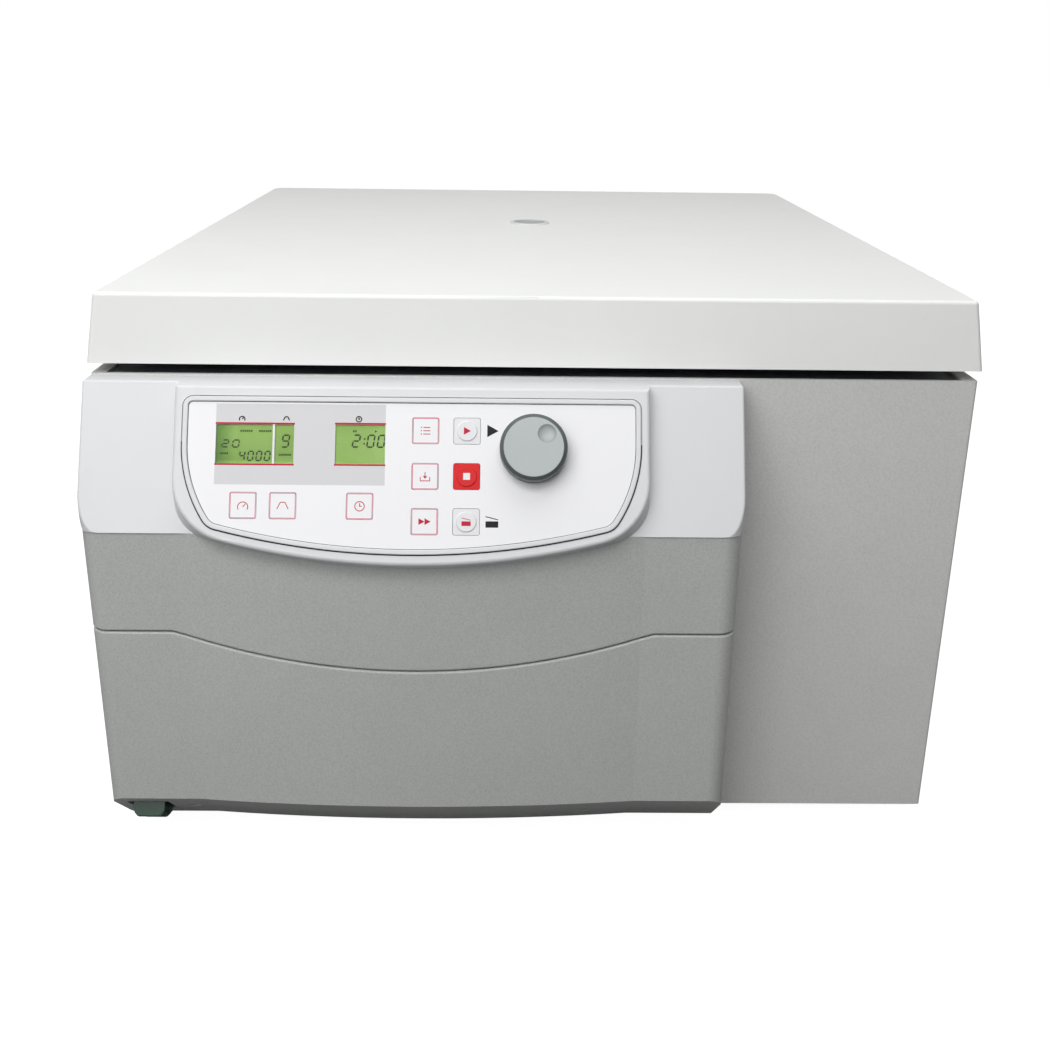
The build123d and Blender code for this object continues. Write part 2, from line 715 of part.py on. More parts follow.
def bucket(side):
    """Tray for a stack of microplates, hung on two trunnions."""
    outer_x, outer_y = POCKET_HALF_X + BUCKET_WALL, POCKET_HALF_Y + BUCKET_WALL
    tray = block(around(0, outer_x), around(0, outer_y), (POCKET_BOTTOM - BUCKET_FLOOR, POCKET_TOP))
    tray = fillet(tray.edges().filter_by(Axis.Z), BUCKET_CORNER)
    ear_y = (POCKET_HALF_Y, POCKET_HALF_Y + EAR_T)
    reach = EAR_T + BEAM_CLEARANCE + BEAM_T - TRUNNION_INSET
    ear = block(around(0, EAR_R), ear_y, (POCKET_BOTTOM, PIVOT_Z))
    ear += cylinder(EAR_R, (0, POCKET_HALF_Y, PIVOT_Z), BACKWARD, EAR_T)
    ear += cylinder(TRUNNION_R, (0, POCKET_HALF_Y, PIVOT_Z), BACKWARD, reach)
    tray += ear + mirror(ear, Plane.XZ)
    pocket_z = (POCKET_BOTTOM, PIVOT_Z + 2 * EAR_R)
    tray -= block(around(0, POCKET_HALF_X), around(0, POCKET_HALF_Y), pocket_z)
    return Pos(side * PIVOT_X, ROTOR_Y, 0) * tray


# ---------------------------------------------------------------- front covers
def cover_plan(front, inset, back):
    """Plan of the front cover, bowed between its two creases."""
    left, right = LEFT_X + inset, COVER_RIGHT - inset
    crease_left, crease_right = around(CENTRE_X, BULGE_HALF)
    edges = [
        Line((left, back), (left, front)),
        Line((left, front), (crease_left, front)),
        ThreePointArc((crease_left, front), (CENTRE_X, front - BULGE_RISE), (crease_right, front)),
        Line((crease_right, front), (right, front)),
        Line((right, front), (right, back)),
        Line((right, back), (left, back)),
    ]
    return make_face(edges)


def column(inset, low, high, back=0.0):
    """The cover's plan with rounded front corners, as an upright prism."""
    plan = cover_plan(-COVER_FRONT + inset, inset, back)
    rows = plan.vertices().group_by(Axis.Y)
    flat_front = rows[0].sort_by(Axis.X)
    plan = fillet([flat_front[0], flat_front[-1]], COVER_CORNER - inset)
    return Pos(0, 0, low) * extrude(plan, high - low)


def bevel_block(inset):
    """The cover's foot, whose front leans back under it."""
    back = CUT if inset else 0
    low_front = -COVER_FRONT + BEVEL_DEPTH + inset * (BEVEL_SLOPE - BEVEL_DEPTH) / BEVEL
    top = Pos(0, 0, BEVEL) * cover_plan(-COVER_FRONT + inset, inset, back)
    bottom = Pos(0, 0, inset) * cover_plan(low_front, inset, back)
    return loft([bottom, top], ruled=True) & column(inset, inset, BEVEL, back)


def beyond_seam(shift, above):
    """Everything above or below the wavy seam between the two covers."""
    z = SEAM_Z + shift
    level = FAR if above else -FAR
    dip_left, dip_right = around(CENTRE_X, SEAM_HALF)
    edges = [
        Line((-FAR, z), (dip_left, z)),
        ThreePointArc((dip_left, z), (CENTRE_X, z - SEAM_DIP), (dip_right, z)),
        Line((dip_right, z), (FAR, z)),
        Line((FAR, z), (FAR, level)),
        Line((FAR, level), (-FAR, level)),
        Line((-FAR, level), (-FAR, z)),
    ]
    return extrude(Plane.XZ * make_face(edges), FAR, both=True)


def behind_slope(shift):
    """Everything behind the upper cover's face, which leans as the console does."""
    low = (-CAP_LOW_REACH + shift, CAP_LOW)
    high = (-CAP_TOP_REACH + shift, CAP_TOP)
    edges = [
        Line(low, high),
        Line(high, (CUT, CAP_TOP)),
        Line((CUT, CAP_TOP), (CUT, CAP_LOW)),
        Line((CUT, CAP_LOW), low),
    ]
    return extrude(Plane.YZ * make_face(edges), FAR, both=True)


def below(z):
    return block((-FAR, FAR), (-FAR, CUT), (-FAR, z))


def round_seam(cover):
    """The cover with the edge along its seam rounded, except at the casing."""
    edges = cover.edges().filter_by_position(Axis.Z, SEAM_Z - SEAM_DIP - CUT, SEAM_Z + CUT)
    return fillet(edges.filter_by_position(Axis.Y, -FAR, -CUT), SEAM_ROUND)


def seam_tongue():
    """Step inside the lower cover's top edge, which the upper cover slides over."""
    inner = COVER_WALL + GAP + TONGUE_T
    low = SEAM_Z - SEAM_DIP - 2 * TONGUE_H
    high = SEAM_Z + TONGUE_H
    hollow = column(inner, low - CUT, high + CUT, CUT)
    root = column(COVER_WALL / 2, low, high) & beyond_seam(-SEAM_GAP / 2, False)
    lip = column(COVER_WALL + GAP, low, high) & beyond_seam(TONGUE_H, False)
    return (root + lip - hollow) & beyond_seam(-SEAM_GAP / 2 - TONGUE_H, True)


def bevel_place(x, height=0.0):
    """A place halfway down the bevel, with its own Z pointing out of it."""
    reach = min(abs(x - CENTRE_X) / BULGE_HALF, 1)
    y = -COVER_FRONT - BULGE_RISE * (1 - reach**2) + BEVEL_DEPTH / 2
    plane = Plane(origin=(x, y, BEVEL / 2), x_dir=(1, 0, 0), z_dir=(0, -BEVEL, -BEVEL_DEPTH))
    return plane.location * Pos(0, 0, height)


def screw_places():
    places = (SWITCH_X + SCREW_TO_SWITCH, COVER_RIGHT - SCREW_TO_END)
    return [bevel_place(x, -SCREW_SINK) for x in places]


def front_lower_cover():
    outer = column(0, BEVEL, SEAM_Z + CUT) + bevel_block(0)
    inner = column(COVER_WALL, BEVEL, SEAM_Z + 2 * CUT, CUT) + bevel_block(COVER_WALL)
    shell = round_seam(outer & beyond_seam(-SEAM_GAP / 2, False)) - inner
    shell += seam_tongue()
    for place in screw_places():
        shell -= place * Cylinder(SCREW_R, 2 * SCREW_LENGTH)
        shell -= place * Cylinder(SCREW_HEAD_R + GAP, 2 * CUT, align=FROM_BASE)
    return shell - bevel_place(SWITCH_X) * Box(SWITCH_W, SWITCH_L, 2 * SWITCH_BODY)


def front_upper_cover():
    outer = column(0, SEAM_Z - SEAM_DIP - 2 * CUT, COVER_TOP) & beyond_seam(SEAM_GAP / 2, True)
    outer = round_seam(outer) & (behind_slope(CAP_T) + below(CAP_LOW))
    return outer - column(COVER_WALL, 0, COVER_TOP - COVER_WALL, CUT)


def cover_screws():
    screws = []
    for place in screw_places():
        head = Cylinder(SCREW_HEAD_R, SCREW_HEAD_H, align=FROM_BASE)
        screws.append(place * (head + Cylinder(SCREW_R - FIT, SCREW_LENGTH, align=FROM_TOP)))
    return screws


# ---------------------------------------------------------------- console
def smile(half, side, low, corner):
    """Outline of the raised console: straight sides over a bowed bottom."""
    top = ROOT_LENGTH
    edges = [
        Line((-half, top), (-half, -side)),
        ThreePointArc((-half, -side), (0, -low), (half, -side)),
        Line((half, -side), (half, top)),
        Line((half, top), (-half, top)),
    ]
    face = make_face(edges)
    face = fillet(face.vertices().group_by(Axis.Y)[0], corner)
    return fillet(face.vertices().group_by(Axis.Y)[-1], CONSOLE_TOP_CORNER)


def console_body(inset):
    """The raised console, flared from its rim to its root."""
    rim = smile(CONSOLE_HALF - inset, CONSOLE_SIDE - inset, CONSOLE_LOW - inset, CONSOLE_CORNER - inset)
    root = smile(ROOT_HALF - inset, ROOT_SIDE - inset, ROOT_LOW - inset, ROOT_CORNER)
    near = FACE * Pos(0, 0, -inset) * rim
    far = FACE * Pos(0, 0, -ROOT_DEPTH) * root
    body = loft([near, far], ruled=True) + extrude(far, ROOT_LENGTH, dir=tuple(-FACE.z_dir))
    return body & block((-FAR, FAR), (-FAR, CUT if inset else 0), (0, CAP_TOP - inset))


def cap():
    """The leaning light panel with its flat top, over the upper cover."""
    body = column(-CAP_PROUD, CAP_LOW, CAP_TOP) & behind_slope(0)
    slope = Axis((0, -CAP_LOW_REACH, CAP_LOW), tuple(FACE.z_dir))
    rim = body.edges().filter_by_position(slope, -FIT, FIT)
    rim = rim.filter_by_position(Axis.Z, CAP_LOW + FIT, CAP_TOP + FIT)
    top_sides = body.edges().filter_by(Axis.Y).filter_by_position(Axis.Z, CAP_TOP - FIT, CAP_TOP + FIT)
    body = fillet(rim + top_sides, CAP_SIDE_ROUND)
    flat_top = block((-FAR, FAR), (-FAR, CUT), (COVER_TOP, CAP_TOP + CUT))
    return body - (behind_slope(CAP_T) - flat_top)


def panel_outline(grow=0.0):
    """Outline of the keypad panel, narrowing towards its bowed bottom, grown all round."""
    half, top, low = PANEL_HALF + grow, PANEL_TOP - grow, PANEL_LOW + grow
    waist, waist_low = PANEL_WAIST + grow * WAIST_GROWTH[0], PANEL_WAIST_LOW + grow * WAIST_GROWTH[1]
    foot, side = PANEL_FOOT + grow * FOOT_GROWTH[0], PANEL_SIDE + grow * FOOT_GROWTH[1]
    edges = [
        Line((-half, -top), (-half, -PANEL_STRAIGHT)),
        ThreePointArc((-half, -PANEL_STRAIGHT), (-waist, -waist_low), (-foot, -side)),
        ThreePointArc((-foot, -side), (0, -low), (foot, -side)),
        ThreePointArc((foot, -side), (waist, -waist_low), (half, -PANEL_STRAIGHT)),
        Line((half, -PANEL_STRAIGHT), (half, -top)),
        Line((half, -top), (-half, -top)),
    ]
    face = make_face(edges)
    face = fillet(face.vertices().group_by(Axis.Y)[0], PANEL_CORNER + grow)
    top_corner = max(PANEL_TOP_CORNER + grow, PANEL_TOP_CORNER / 4)
    return fillet(face.vertices().group_by(Axis.Y)[-1], top_corner)


def on_face(sketch, low, high):
    """A sketch on the console's face, raised from one height to another."""
    return FACE * Pos(0, 0, low) * extrude(sketch, high - low)


def at(x, down):
    return Pos(x, -down)


def console_housing():
    """Light moulding of the leaning cap and the hollow console on it."""
    body = cap() + console_body(0)
    rim = body.edges().filter_by_position(FACE_AXIS, -FIT, FIT)
    body = fillet(rim, CONSOLE_ROUND) - console_body(COVER_WALL)
    body -= column(0, SEAM_Z - SEAM_DIP, COVER_TOP, CUT) & (behind_slope(CAP_T) + below(CAP_LOW))
    body -= on_face(panel_outline(TRIM_W + TRIM_GAP), -PANEL_T, CUT)
    return body - on_face(panel_outline(-LEDGE), -COVER_WALL - CUT, CUT)


def console_trim():
    ring = on_face(panel_outline(TRIM_W), -PANEL_T, TRIM_RISE)
    ring -= on_face(panel_outline(), -PANEL_T - CUT, TRIM_RISE + CUT)
    crest = ring.edges().filter_by_position(FACE_AXIS, TRIM_RISE - FIT, TRIM_RISE + FIT)
    return fillet(crest, TRIM_ROUND)


# ---------------------------------------------------------------- control panel
def key_blank(grow=0.0):
    return RectangleRounded(KEY + 2 * grow, KEY + 2 * grow, KEY_CORNER + grow)


def membrane_panel():
    panel = on_face(panel_outline(-FIT), -PANEL_T, 0)
    for x, down in KEYS.values():
        panel -= on_face(at(x, down) * key_blank(KEY_GAP), -PANEL_T - CUT, CUT)
    for x, down, width, height in DISPLAYS.values():
        panel -= on_face(at(x, down) * Rectangle(width, height), -PANEL_T - CUT, CUT)
    return panel - on_face(at(KNOB_X, KNOB_DOWN) * Circle(SPINDLE_HOLE_R), -PANEL_T - CUT, CUT)


def display_lenses():
    top = -LENS_SINK
    return [
        on_face(at(x, down) * Rectangle(width, height), top - LENS_T, top)
        for x, down, width, height in DISPLAYS.values()
    ]


def display_modules():
    """Display glass in a frame that stands on the control board."""
    modules = []
    back = -PANEL_T - DISPLAY_T
    for x, down, width, height in DISPLAYS.values():
        def layer(rim, low, high):
            return on_face(at(x, down) * Rectangle(width + 2 * rim, height + 2 * rim), low, high)

        glass = layer(-DISPLAY_FIT, -PANEL_T, -LENS_SINK - LENS_T)
        frame = layer(DISPLAY_RIM, back, -PANEL_T)
        modules.append(glass + frame + layer(-DISPLAY_LEG_INSET, -BOARD_DEPTH, back))
    return modules


def control_board():
    """Board with a switch under each key, on posts behind the panel."""
    board = on_face(panel_outline(-BOARD_INSET), -BOARD_DEPTH - BOARD_T, -BOARD_DEPTH)
    switch_top = -KEY_T - KEY_TRAVEL - SWITCH_POST_GAP
    for x, down in KEYS.values():
        board += on_face(at(x, down) * Circle(SWITCH_POST_R), -BOARD_DEPTH, switch_top)
    for x, down in BOARD_POSTS:
        board += on_face(at(x, down) * Circle(BOARD_POST_R), -BOARD_DEPTH, -PANEL_T)
    return board - below(CAP_LOW + BOARD_CLEARANCE)


def encoder_body():
    place = at(KNOB_X, KNOB_DOWN)
    body = on_face(place * Rectangle(ENCODER, ENCODER), -BOARD_DEPTH, -PANEL_T)
    return body - on_face(place * Circle(SPINDLE_R + FIT), ENCODER_FLOOR - BOARD_DEPTH, CUT)


def key(name):
    place = at(*KEYS[name])
    blank = on_face(place * key_blank(), -KEY_T, 0)
    if name in DOMED_KEYS:
        dome = on_face(place * Circle(DOME_R), 0, DOME_H)
        blank += chamfer(dome.edges().sort_by(FACE_AXIS)[-1:], DOME_BEVEL)
    return blank


def control_knob():
    """Speed knob with a finger dimple, on the encoder's spindle."""
    place = at(KNOB_X, KNOB_DOWN)
    body = on_face(place * Circle(KNOB_R), KNOB_GAP, KNOB_SKIRT_H)
    low = FACE * Pos(0, 0, KNOB_SKIRT_H) * place * Circle(KNOB_WAIST_R)
    high = FACE * Pos(0, 0, KNOB_H) * place * Circle(KNOB_FACE_R)
    body += loft([low, high])
    body = fillet(body.edges().sort_by(FACE_AXIS)[-1:], KNOB_ROUND)
    dimple_z = KNOB_H + DIMPLE_SPHERE - DIMPLE_DEPTH
    body -= FACE * place * Pos(DIMPLE_X, DIMPLE_UP, dimple_z) * Sphere(DIMPLE_SPHERE)
    return body + on_face(place * Circle(SPINDLE_R), SPINDLE_END - BOARD_DEPTH, KNOB_GAP)


# ---------------------------------------------------------------- mains switch
def mains_switch():
    rim = Pos(0, 0, -SWITCH_SINK) * Box(
        SWITCH_W - 2 * FIT, SWITCH_L - 2 * FIT, SWITCH_RIM_T, align=FROM_TOP
    )
    body = Pos(0, 0, -SWITCH_SINK) * Box(
        SWITCH_W - 2 * SWITCH_RIM, SWITCH_L - 2 * SWITCH_RIM, SWITCH_BODY, align=FROM_TOP
    )
    well = Box(
        ROCKER_W + 2 * ROCKER_SIDE_GAP, ROCKER_L + 2 * ROCKER_END_GAP, SWITCH_WELL, align=FROM_TOP
    )
    bore = Pos(0, 0, -ROCKER_AXIS) * rocker_pins(ROCKER_PIN_R + FIT, ROCKER_PIN_REACH + CUT)
    return bevel_place(SWITCH_X) * (rim + body - well - bore)


def rocker_pins(radius, reach):
    return extrude(Plane.YZ * Circle(radius), ROCKER_W / 2 + reach, both=True)


def mains_rocker():
    """Two-faced rocker, stored tipped to its off side."""
    half = ROCKER_L / 2
    valley = ROCKER_RISE - half * math.tan(math.radians(ROCKER_TILT))
    points = [
        (-half, -ROCKER_DEPTH), (half, -ROCKER_DEPTH), (half, ROCKER_RISE), (0, valley), (-half, ROCKER_RISE)
    ]
    side = make_face(Polyline(*points, close=True))
    rocker = extrude(Plane.YZ * side, ROCKER_W / 2, both=True)
    axis = Pos(0, 0, -ROCKER_AXIS)
    rocker += axis * rocker_pins(ROCKER_PIN_R, ROCKER_PIN_REACH)
    return bevel_place(SWITCH_X) * axis * Rot(ROCKER_TILT, 0, 0) * axis.inverse() * rocker


# ---------------------------------------------------------------- lid
def lid_layer(low, high, inset):
    """A slice of the lid's shape, which draws in towards its top."""
    lean = math.tan(math.radians(LID_TAPER))
    middle = (CASING_D - LID_FRONT_LIP) / 2
    sections = []
    for z in (low, high):
        draw_in = 2 * (inset + (z - LID_BOTTOM) * lean)
        width, depth = CASING_W + 2 * LID_SIDE_LIP - draw_in, CASING_D + LID_FRONT_LIP - draw_in
        outline = Rectangle(width, depth)
        for row, radius in ((0, LID_FRONT_R), (-1, LID_BACK_R)):
            corners = outline.vertices().group_by(Axis.Y)[row]
            outline = fillet(corners, max(radius - inset, SHEET / 2))
        sections.append(Pos(0, middle, z) * outline)
    return loft(sections, ruled=True)


def lid_shell():
    outer = lid_layer(LID_BOTTOM, LID_TOP, 0)
    outer = fillet(outer.edges().group_by(Axis.Z)[-1], LID_EDGE_R)
    inner = lid_layer(PAN_BOTTOM, LID_TOP - SHEET, SHEET)
    mouth = lid_layer(LID_BOTTOM - CUT, LID_BOTTOM + CUT, LID_RETURN)
    hole = cylinder(WINDOW_R + WINDOW_WALL, (*ROTOR_AXIS, LID_TOP - CUT), UP, 2 * CUT)
    return outer - inner - mouth - hole


def lid_inner_pan():
    rim_top = PAN_BOTTOM + PAN_RIM
    pan = lid_layer(PAN_BOTTOM, rim_top, SHEET + FIT)
    pan -= lid_layer(PAN_TOP, rim_top + CUT, SHEET + FIT + PAN_T)
    hole = cylinder(WINDOW_R + WINDOW_WALL, (*ROTOR_AXIS, PAN_BOTTOM - CUT), UP, 2 * CUT + PAN_T)
    return pan - hole


def window_tube():
    """Sight tube through the lid, with a lip over the lid's top."""
    outer = WINDOW_R + WINDOW_WALL
    body = tube(outer, WINDOW_R, (*ROTOR_AXIS, PAN_BOTTOM), UP, WINDOW_TOP - PAN_BOTTOM)
    lip = cylinder(outer + WINDOW_LIP_W, (*ROTOR_AXIS, LID_TOP), UP, WINDOW_LIP)
    lip = chamfer(lip.edges().group_by(Axis.Z)[-1], WINDOW_LIP_BEVEL)
    body += lip - cylinder(outer, (*ROTOR_AXIS, LID_TOP - CUT), UP, 2 * CUT)
    seat = WINDOW_T + WINDOW_SINK
    return body - cylinder(WINDOW_R + WINDOW_SEAT, (*ROTOR_AXIS, WINDOW_TOP - seat), UP, seat + CUT)


def window_lens():
    bottom = WINDOW_TOP - WINDOW_SINK - WINDOW_T
    return cylinder(WINDOW_R + WINDOW_SEAT, (*ROTOR_AXIS, bottom), UP, WINDOW_T)


def lid_striker():
    """Bent bar under the lid that one of the lock's hooks catches."""
    ends = around(LOCK_X, STRIKER_HALF)
    bar = cylinder(STRIKER_R, (ends[0], STRIKER_Y, STRIKER_Z), RIGHT, 2 * STRIKER_HALF)
    for x in ends:
        bar += Pos(x, STRIKER_Y, STRIKER_Z) * Sphere(STRIKER_R)
        bar += cylinder(STRIKER_R, (x, STRIKER_Y, STRIKER_Z), UP, PAN_BOTTOM - STRIKER_Z)
    plate_x = around(LOCK_X, STRIKER_HALF + STRIKER_PLATE_RIM)
    plate_z = (PAN_BOTTOM - STRIKER_PLATE_T, PAN_BOTTOM)
    return bar + block(plate_x, around(STRIKER_Y, STRIKER_PLATE_HALF), plate_z)


# ---------------------------------------------------------------- hinges
def hinge_line(radius, x0, x1):
    return cylinder(radius, (x0, HINGE_Y, HINGE_Z), RIGHT, x1 - x0)


def hinge_fixed_leaf():
    """Leaf on the rear panel with the two outer knuckles and the pin."""
    x0, x1 = around(HINGE_X, HINGE_W / 2)
    leaf_z = (CASING_H - HINGE_LEAF_DROP, CASING_H - HINGE_TOP_DROP)
    leaf = block((x0, x1), (CASING_D, CASING_D + HINGE_LEAF_T), leaf_z)
    for a, b in ((x0, x0 + KNUCKLE_W), (x1 - KNUCKLE_W, x1)):
        leaf += block((a, b), (CASING_D, HINGE_Y), (leaf_z[1] - HINGE_LEAF_T, HINGE_Z))
        leaf += hinge_line(HINGE_R, a, b)
    middle = (x0 + KNUCKLE_W, x1 - KNUCKLE_W)
    leaf -= hinge_line(HINGE_R + GAP, *middle)
    return leaf + hinge_line(HINGE_PIN_R, x0, x1)


def hinge_moving_leaf():
    """Leaf under the lid with the middle knuckle."""
    x0, x1 = around(HINGE_X, HINGE_W / 2)
    middle = (x0 + KNUCKLE_W + KNUCKLE_GAP, x1 - KNUCKLE_W - KNUCKLE_GAP)
    leaf_z = (LID_BOTTOM - HINGE_LEAF_T, LID_BOTTOM)
    leaf = block((x0, x1), (CASING_D - HINGE_LEAF_L, CASING_D), leaf_z)
    leaf += block(middle, (CASING_D, HINGE_Y), leaf_z)
    leaf += hinge_line(HINGE_R, *middle)
    return leaf - hinge_line(HINGE_PIN_R + FIT, x0, x1)


# ---------------------------------------------------------------- gas struts
def strut_points():
    """The lid's pin and the casing's pin, on one circle about the hinge."""
    drop = STRUT_TOP_DROP + HINGE_RISE
    top_angle = math.pi + math.asin(drop / STRUT_ARM)
    low_angle = top_angle + math.radians(STRUT_SPREAD)
    return [
        (HINGE_Y + STRUT_ARM * math.cos(angle), HINGE_Z + STRUT_ARM * math.sin(angle))
        for angle in (top_angle, low_angle)
    ]


def strut_place(side):
    """A place whose X runs up the strut and whose Z runs across the casing."""
    (top_y, top_z), (low_y, low_z) = strut_points()
    along = (0, top_y - low_y, top_z - low_z)
    return Plane(origin=(side * STRUT_X, low_y, low_z), x_dir=along, z_dir=(1, 0, 0))


def along_strut(radius, start, end):
    return cylinder(radius, (start, 0, 0), RIGHT, end - start)


def across_strut(radius, x, half):
    return Pos(x, 0, 0) * extrude(Circle(radius), half, both=True)


def strut_cylinder(side):
    bore_start = STRUT_EYE_R + STRUT_EYE_WALL
    body = across_strut(STRUT_EYE_R, 0, STRUT_EYE_W / 2)
    body += along_strut(STRUT_R, STRUT_PIN_R + STRUT_ROOT, STRUT_BODY)
    body -= along_strut(STRUT_BORE_R, bore_start, STRUT_BODY - STRUT_GLAND)
    body -= along_strut(STRUT_ROD_R + FIT, bore_start, STRUT_BODY + CUT)
    return strut_place(side) * (body - across_strut(STRUT_PIN_R + FIT, 0, STRUT_EYE_W))


def strut_rod(side):
    """Piston rod, whose upper eye is a slot that lets the pin float."""
    start = STRUT_EYE_R + STRUT_EYE_WALL + STRUT_PISTON_GAP
    rod = along_strut(STRUT_ROD_R, start, STRUT_ROD_END)
    rod += along_strut(STRUT_BORE_R - FIT, start, start + STRUT_PISTON_T)
    far_end = STRUT_LENGTH + STRUT_FLOAT
    half_w = STRUT_EYE_W / 2
    rod += block((STRUT_ROD_END, far_end), around(0, STRUT_EYE_R), around(0, half_w))
    rod += across_strut(STRUT_EYE_R, far_end, half_w)
    hole = STRUT_PIN_R + GAP
    for x in (STRUT_LENGTH, far_end):
        rod -= across_strut(hole, x, STRUT_EYE_W)
    rod -= block((STRUT_LENGTH, far_end), around(0, hole), around(0, STRUT_EYE_W))
    return strut_place(side) * rod


def strut_lower_pin():
    _, (y, z) = strut_points()
    wall = RIGHT_X - SHEET
    start = STRUT_X - STRUT_EYE_W / 2 - STRUT_SIDE_GAP
    shoulder = STRUT_X + STRUT_R + STRUT_SIDE_GAP
    pin = cylinder(STRUT_PIN_R, (start, y, z), RIGHT, wall - start)
    return pin + cylinder(STRUT_EYE_R, (shoulder, y, z), RIGHT, wall - shoulder)


def strut_upper_bracket():
    (y, z), _ = strut_points()
    start = STRUT_X - STRUT_EYE_W / 2 - STRUT_SIDE_GAP
    end = STRUT_X + STRUT_EYE_W / 2 + STRUT_SIDE_GAP
    plate = (end, end + BRACKET_T)
    along = around(y, BRACKET_HALF)
    bracket = cylinder(STRUT_PIN_R, (start, y, z), RIGHT, plate[1] - start)
    bracket += block(plate, along, (z - STRUT_EYE_R, PAN_BOTTOM))
    return bracket + block((plate[1] - BRACKET_W, plate[1]), along, (PAN_BOTTOM - BRACKET_FOOT_T, PAN_BOTTOM))


# ---------------------------------------------------------------- lid lock
def lock_hook(side):
    """Hook drawn over its striker, then turned away to the stored, unlocked place."""
    nose_low = STRIKER_Z + STRIKER_R + HOOK_CLEARANCE
    nose_high = nose_low + HOOK_NOSE
    front, throat, back = STRIKER_Y - HOOK_REACH, STRIKER_Y + HOOK_THROAT, LOCK_Y + HOOK_BACK
    low = LOCK_Z - HOOK_BACK
    points = [
        (front, nose_low), (throat, nose_low), (throat, low),
        (back, low), (back, nose_high), (front, nose_high),
    ]
    plate = extrude(Plane.YZ * make_face(Polyline(*points, close=True)), HOOK_T / 2, both=True)
    axis = Pos(side * LOCK_X, LOCK_Y, LOCK_Z)
    return axis * Rot(-LOCK_SWING, 0, 0) * Pos(0, -LOCK_Y, -LOCK_Z) * plate


def lock_shaft():
    """Shaft across the casing with the two hooks on it."""
    shaft = cylinder(LOCK_SHAFT_R, (-LOCK_SHAFT_HALF, LOCK_Y, LOCK_Z), RIGHT, 2 * LOCK_SHAFT_HALF)
    return shaft + lock_hook(-1) + lock_hook(1)


def lock_bracket():
    x0 = LOCK_X + LOCK_BRACKET_X
    x1 = x0 + LOCK_BRACKET_T
    along = around(LOCK_Y, LOCK_BRACKET_HALF)
    plate = block((x0, x1), along, (LOCK_Z - LOCK_BRACKET_LOW, DECK_BOTTOM))
    plate += block((x0, x0 + LOCK_TAB), along, (DECK_BOTTOM - LOCK_BRACKET_T, DECK_BOTTOM))
    return plate - cylinder(LOCK_SHAFT_R + FIT, (x0 - CUT, LOCK_Y, LOCK_Z), RIGHT, LOCK_BRACKET_T + 2 * CUT)


def lock_motor():
    """Gear motor on the left end of the lock's shaft."""
    face = -(LOCK_X + LOCK_BRACKET_X + LOCK_BRACKET_T)
    box = block((face - GEARBOX_W, face), around(LOCK_Y, GEARBOX_HALF), around(LOCK_Z, GEARBOX_HALF))
    motor_z = LOCK_Z - GEARBOX_HALF - LOCK_MOTOR_H
    box += cylinder(LOCK_MOTOR_R, (face - LOCK_MOTOR_X, LOCK_Y, motor_z), UP, LOCK_MOTOR_H)
    socket = (face - GEARBOX_GRIP, LOCK_Y, LOCK_Z)
    return box - cylinder(LOCK_SHAFT_R + FIT, socket, RIGHT, GEARBOX_GRIP + CUT)


# ---------------------------------------------------------------- fan and inlet
def fan_frame():
    front = BACK_WALL - FAN_T
    frame = block(around(FAN_X, FAN_SIZE / 2), (front, BACK_WALL), around(FAN_Z, FAN_SIZE / 2))
    frame -= cylinder(FAN_BORE_R, (FAN_X, front - CUT, FAN_Z), BACKWARD, FAN_T + 2 * CUT)
    spoke = block(around(0, FAN_BORE_R + GRILLE_LAP), (front, front + FAN_SPOKE_T), around(0, FAN_SPOKE / 2))
    for angle in (0, 90):
        frame += Pos(FAN_X, 0, FAN_Z) * Rot(0, angle, 0) * spoke
    frame += cylinder(FAN_HUB_R, (FAN_X, front, FAN_Z), BACKWARD, FAN_HUB_T)
    return frame + cylinder(FAN_SHAFT_R, (FAN_X, front, FAN_Z), BACKWARD, FAN_SHAFT_L)


def fan_rotor():
    front = BACK_WALL - FAN_T + FAN_HUB_T + FAN_HUB_GAP
    centre = (FAN_X, front, FAN_Z)
    reach = FAN_BORE_R - FAN_TIP_GAP
    rotor = cylinder(FAN_HUB_R, centre, BACKWARD, FAN_ROTOR_T)
    vane = Pos((FAN_HUB_R + reach) / 2, FAN_ROTOR_T / 2, 0) * Rot(FAN_BLADE_ANGLE, 0, 0) * Box(
        reach - FAN_HUB_R + 2 * FAN_BLADE_T, FAN_BLADE_T, FAN_T
    )
    for blade in range(FAN_BLADES):
        rotor += Pos(*centre) * Rot(0, 360 * blade / FAN_BLADES, 0) * vane
    rotor &= cylinder(reach, centre, BACKWARD, FAN_ROTOR_T)
    bore = FAN_SHAFT_L - FAN_HUB_T
    return rotor - cylinder(FAN_SHAFT_R + FIT, (FAN_X, front - CUT, FAN_Z), BACKWARD, bore + CUT)


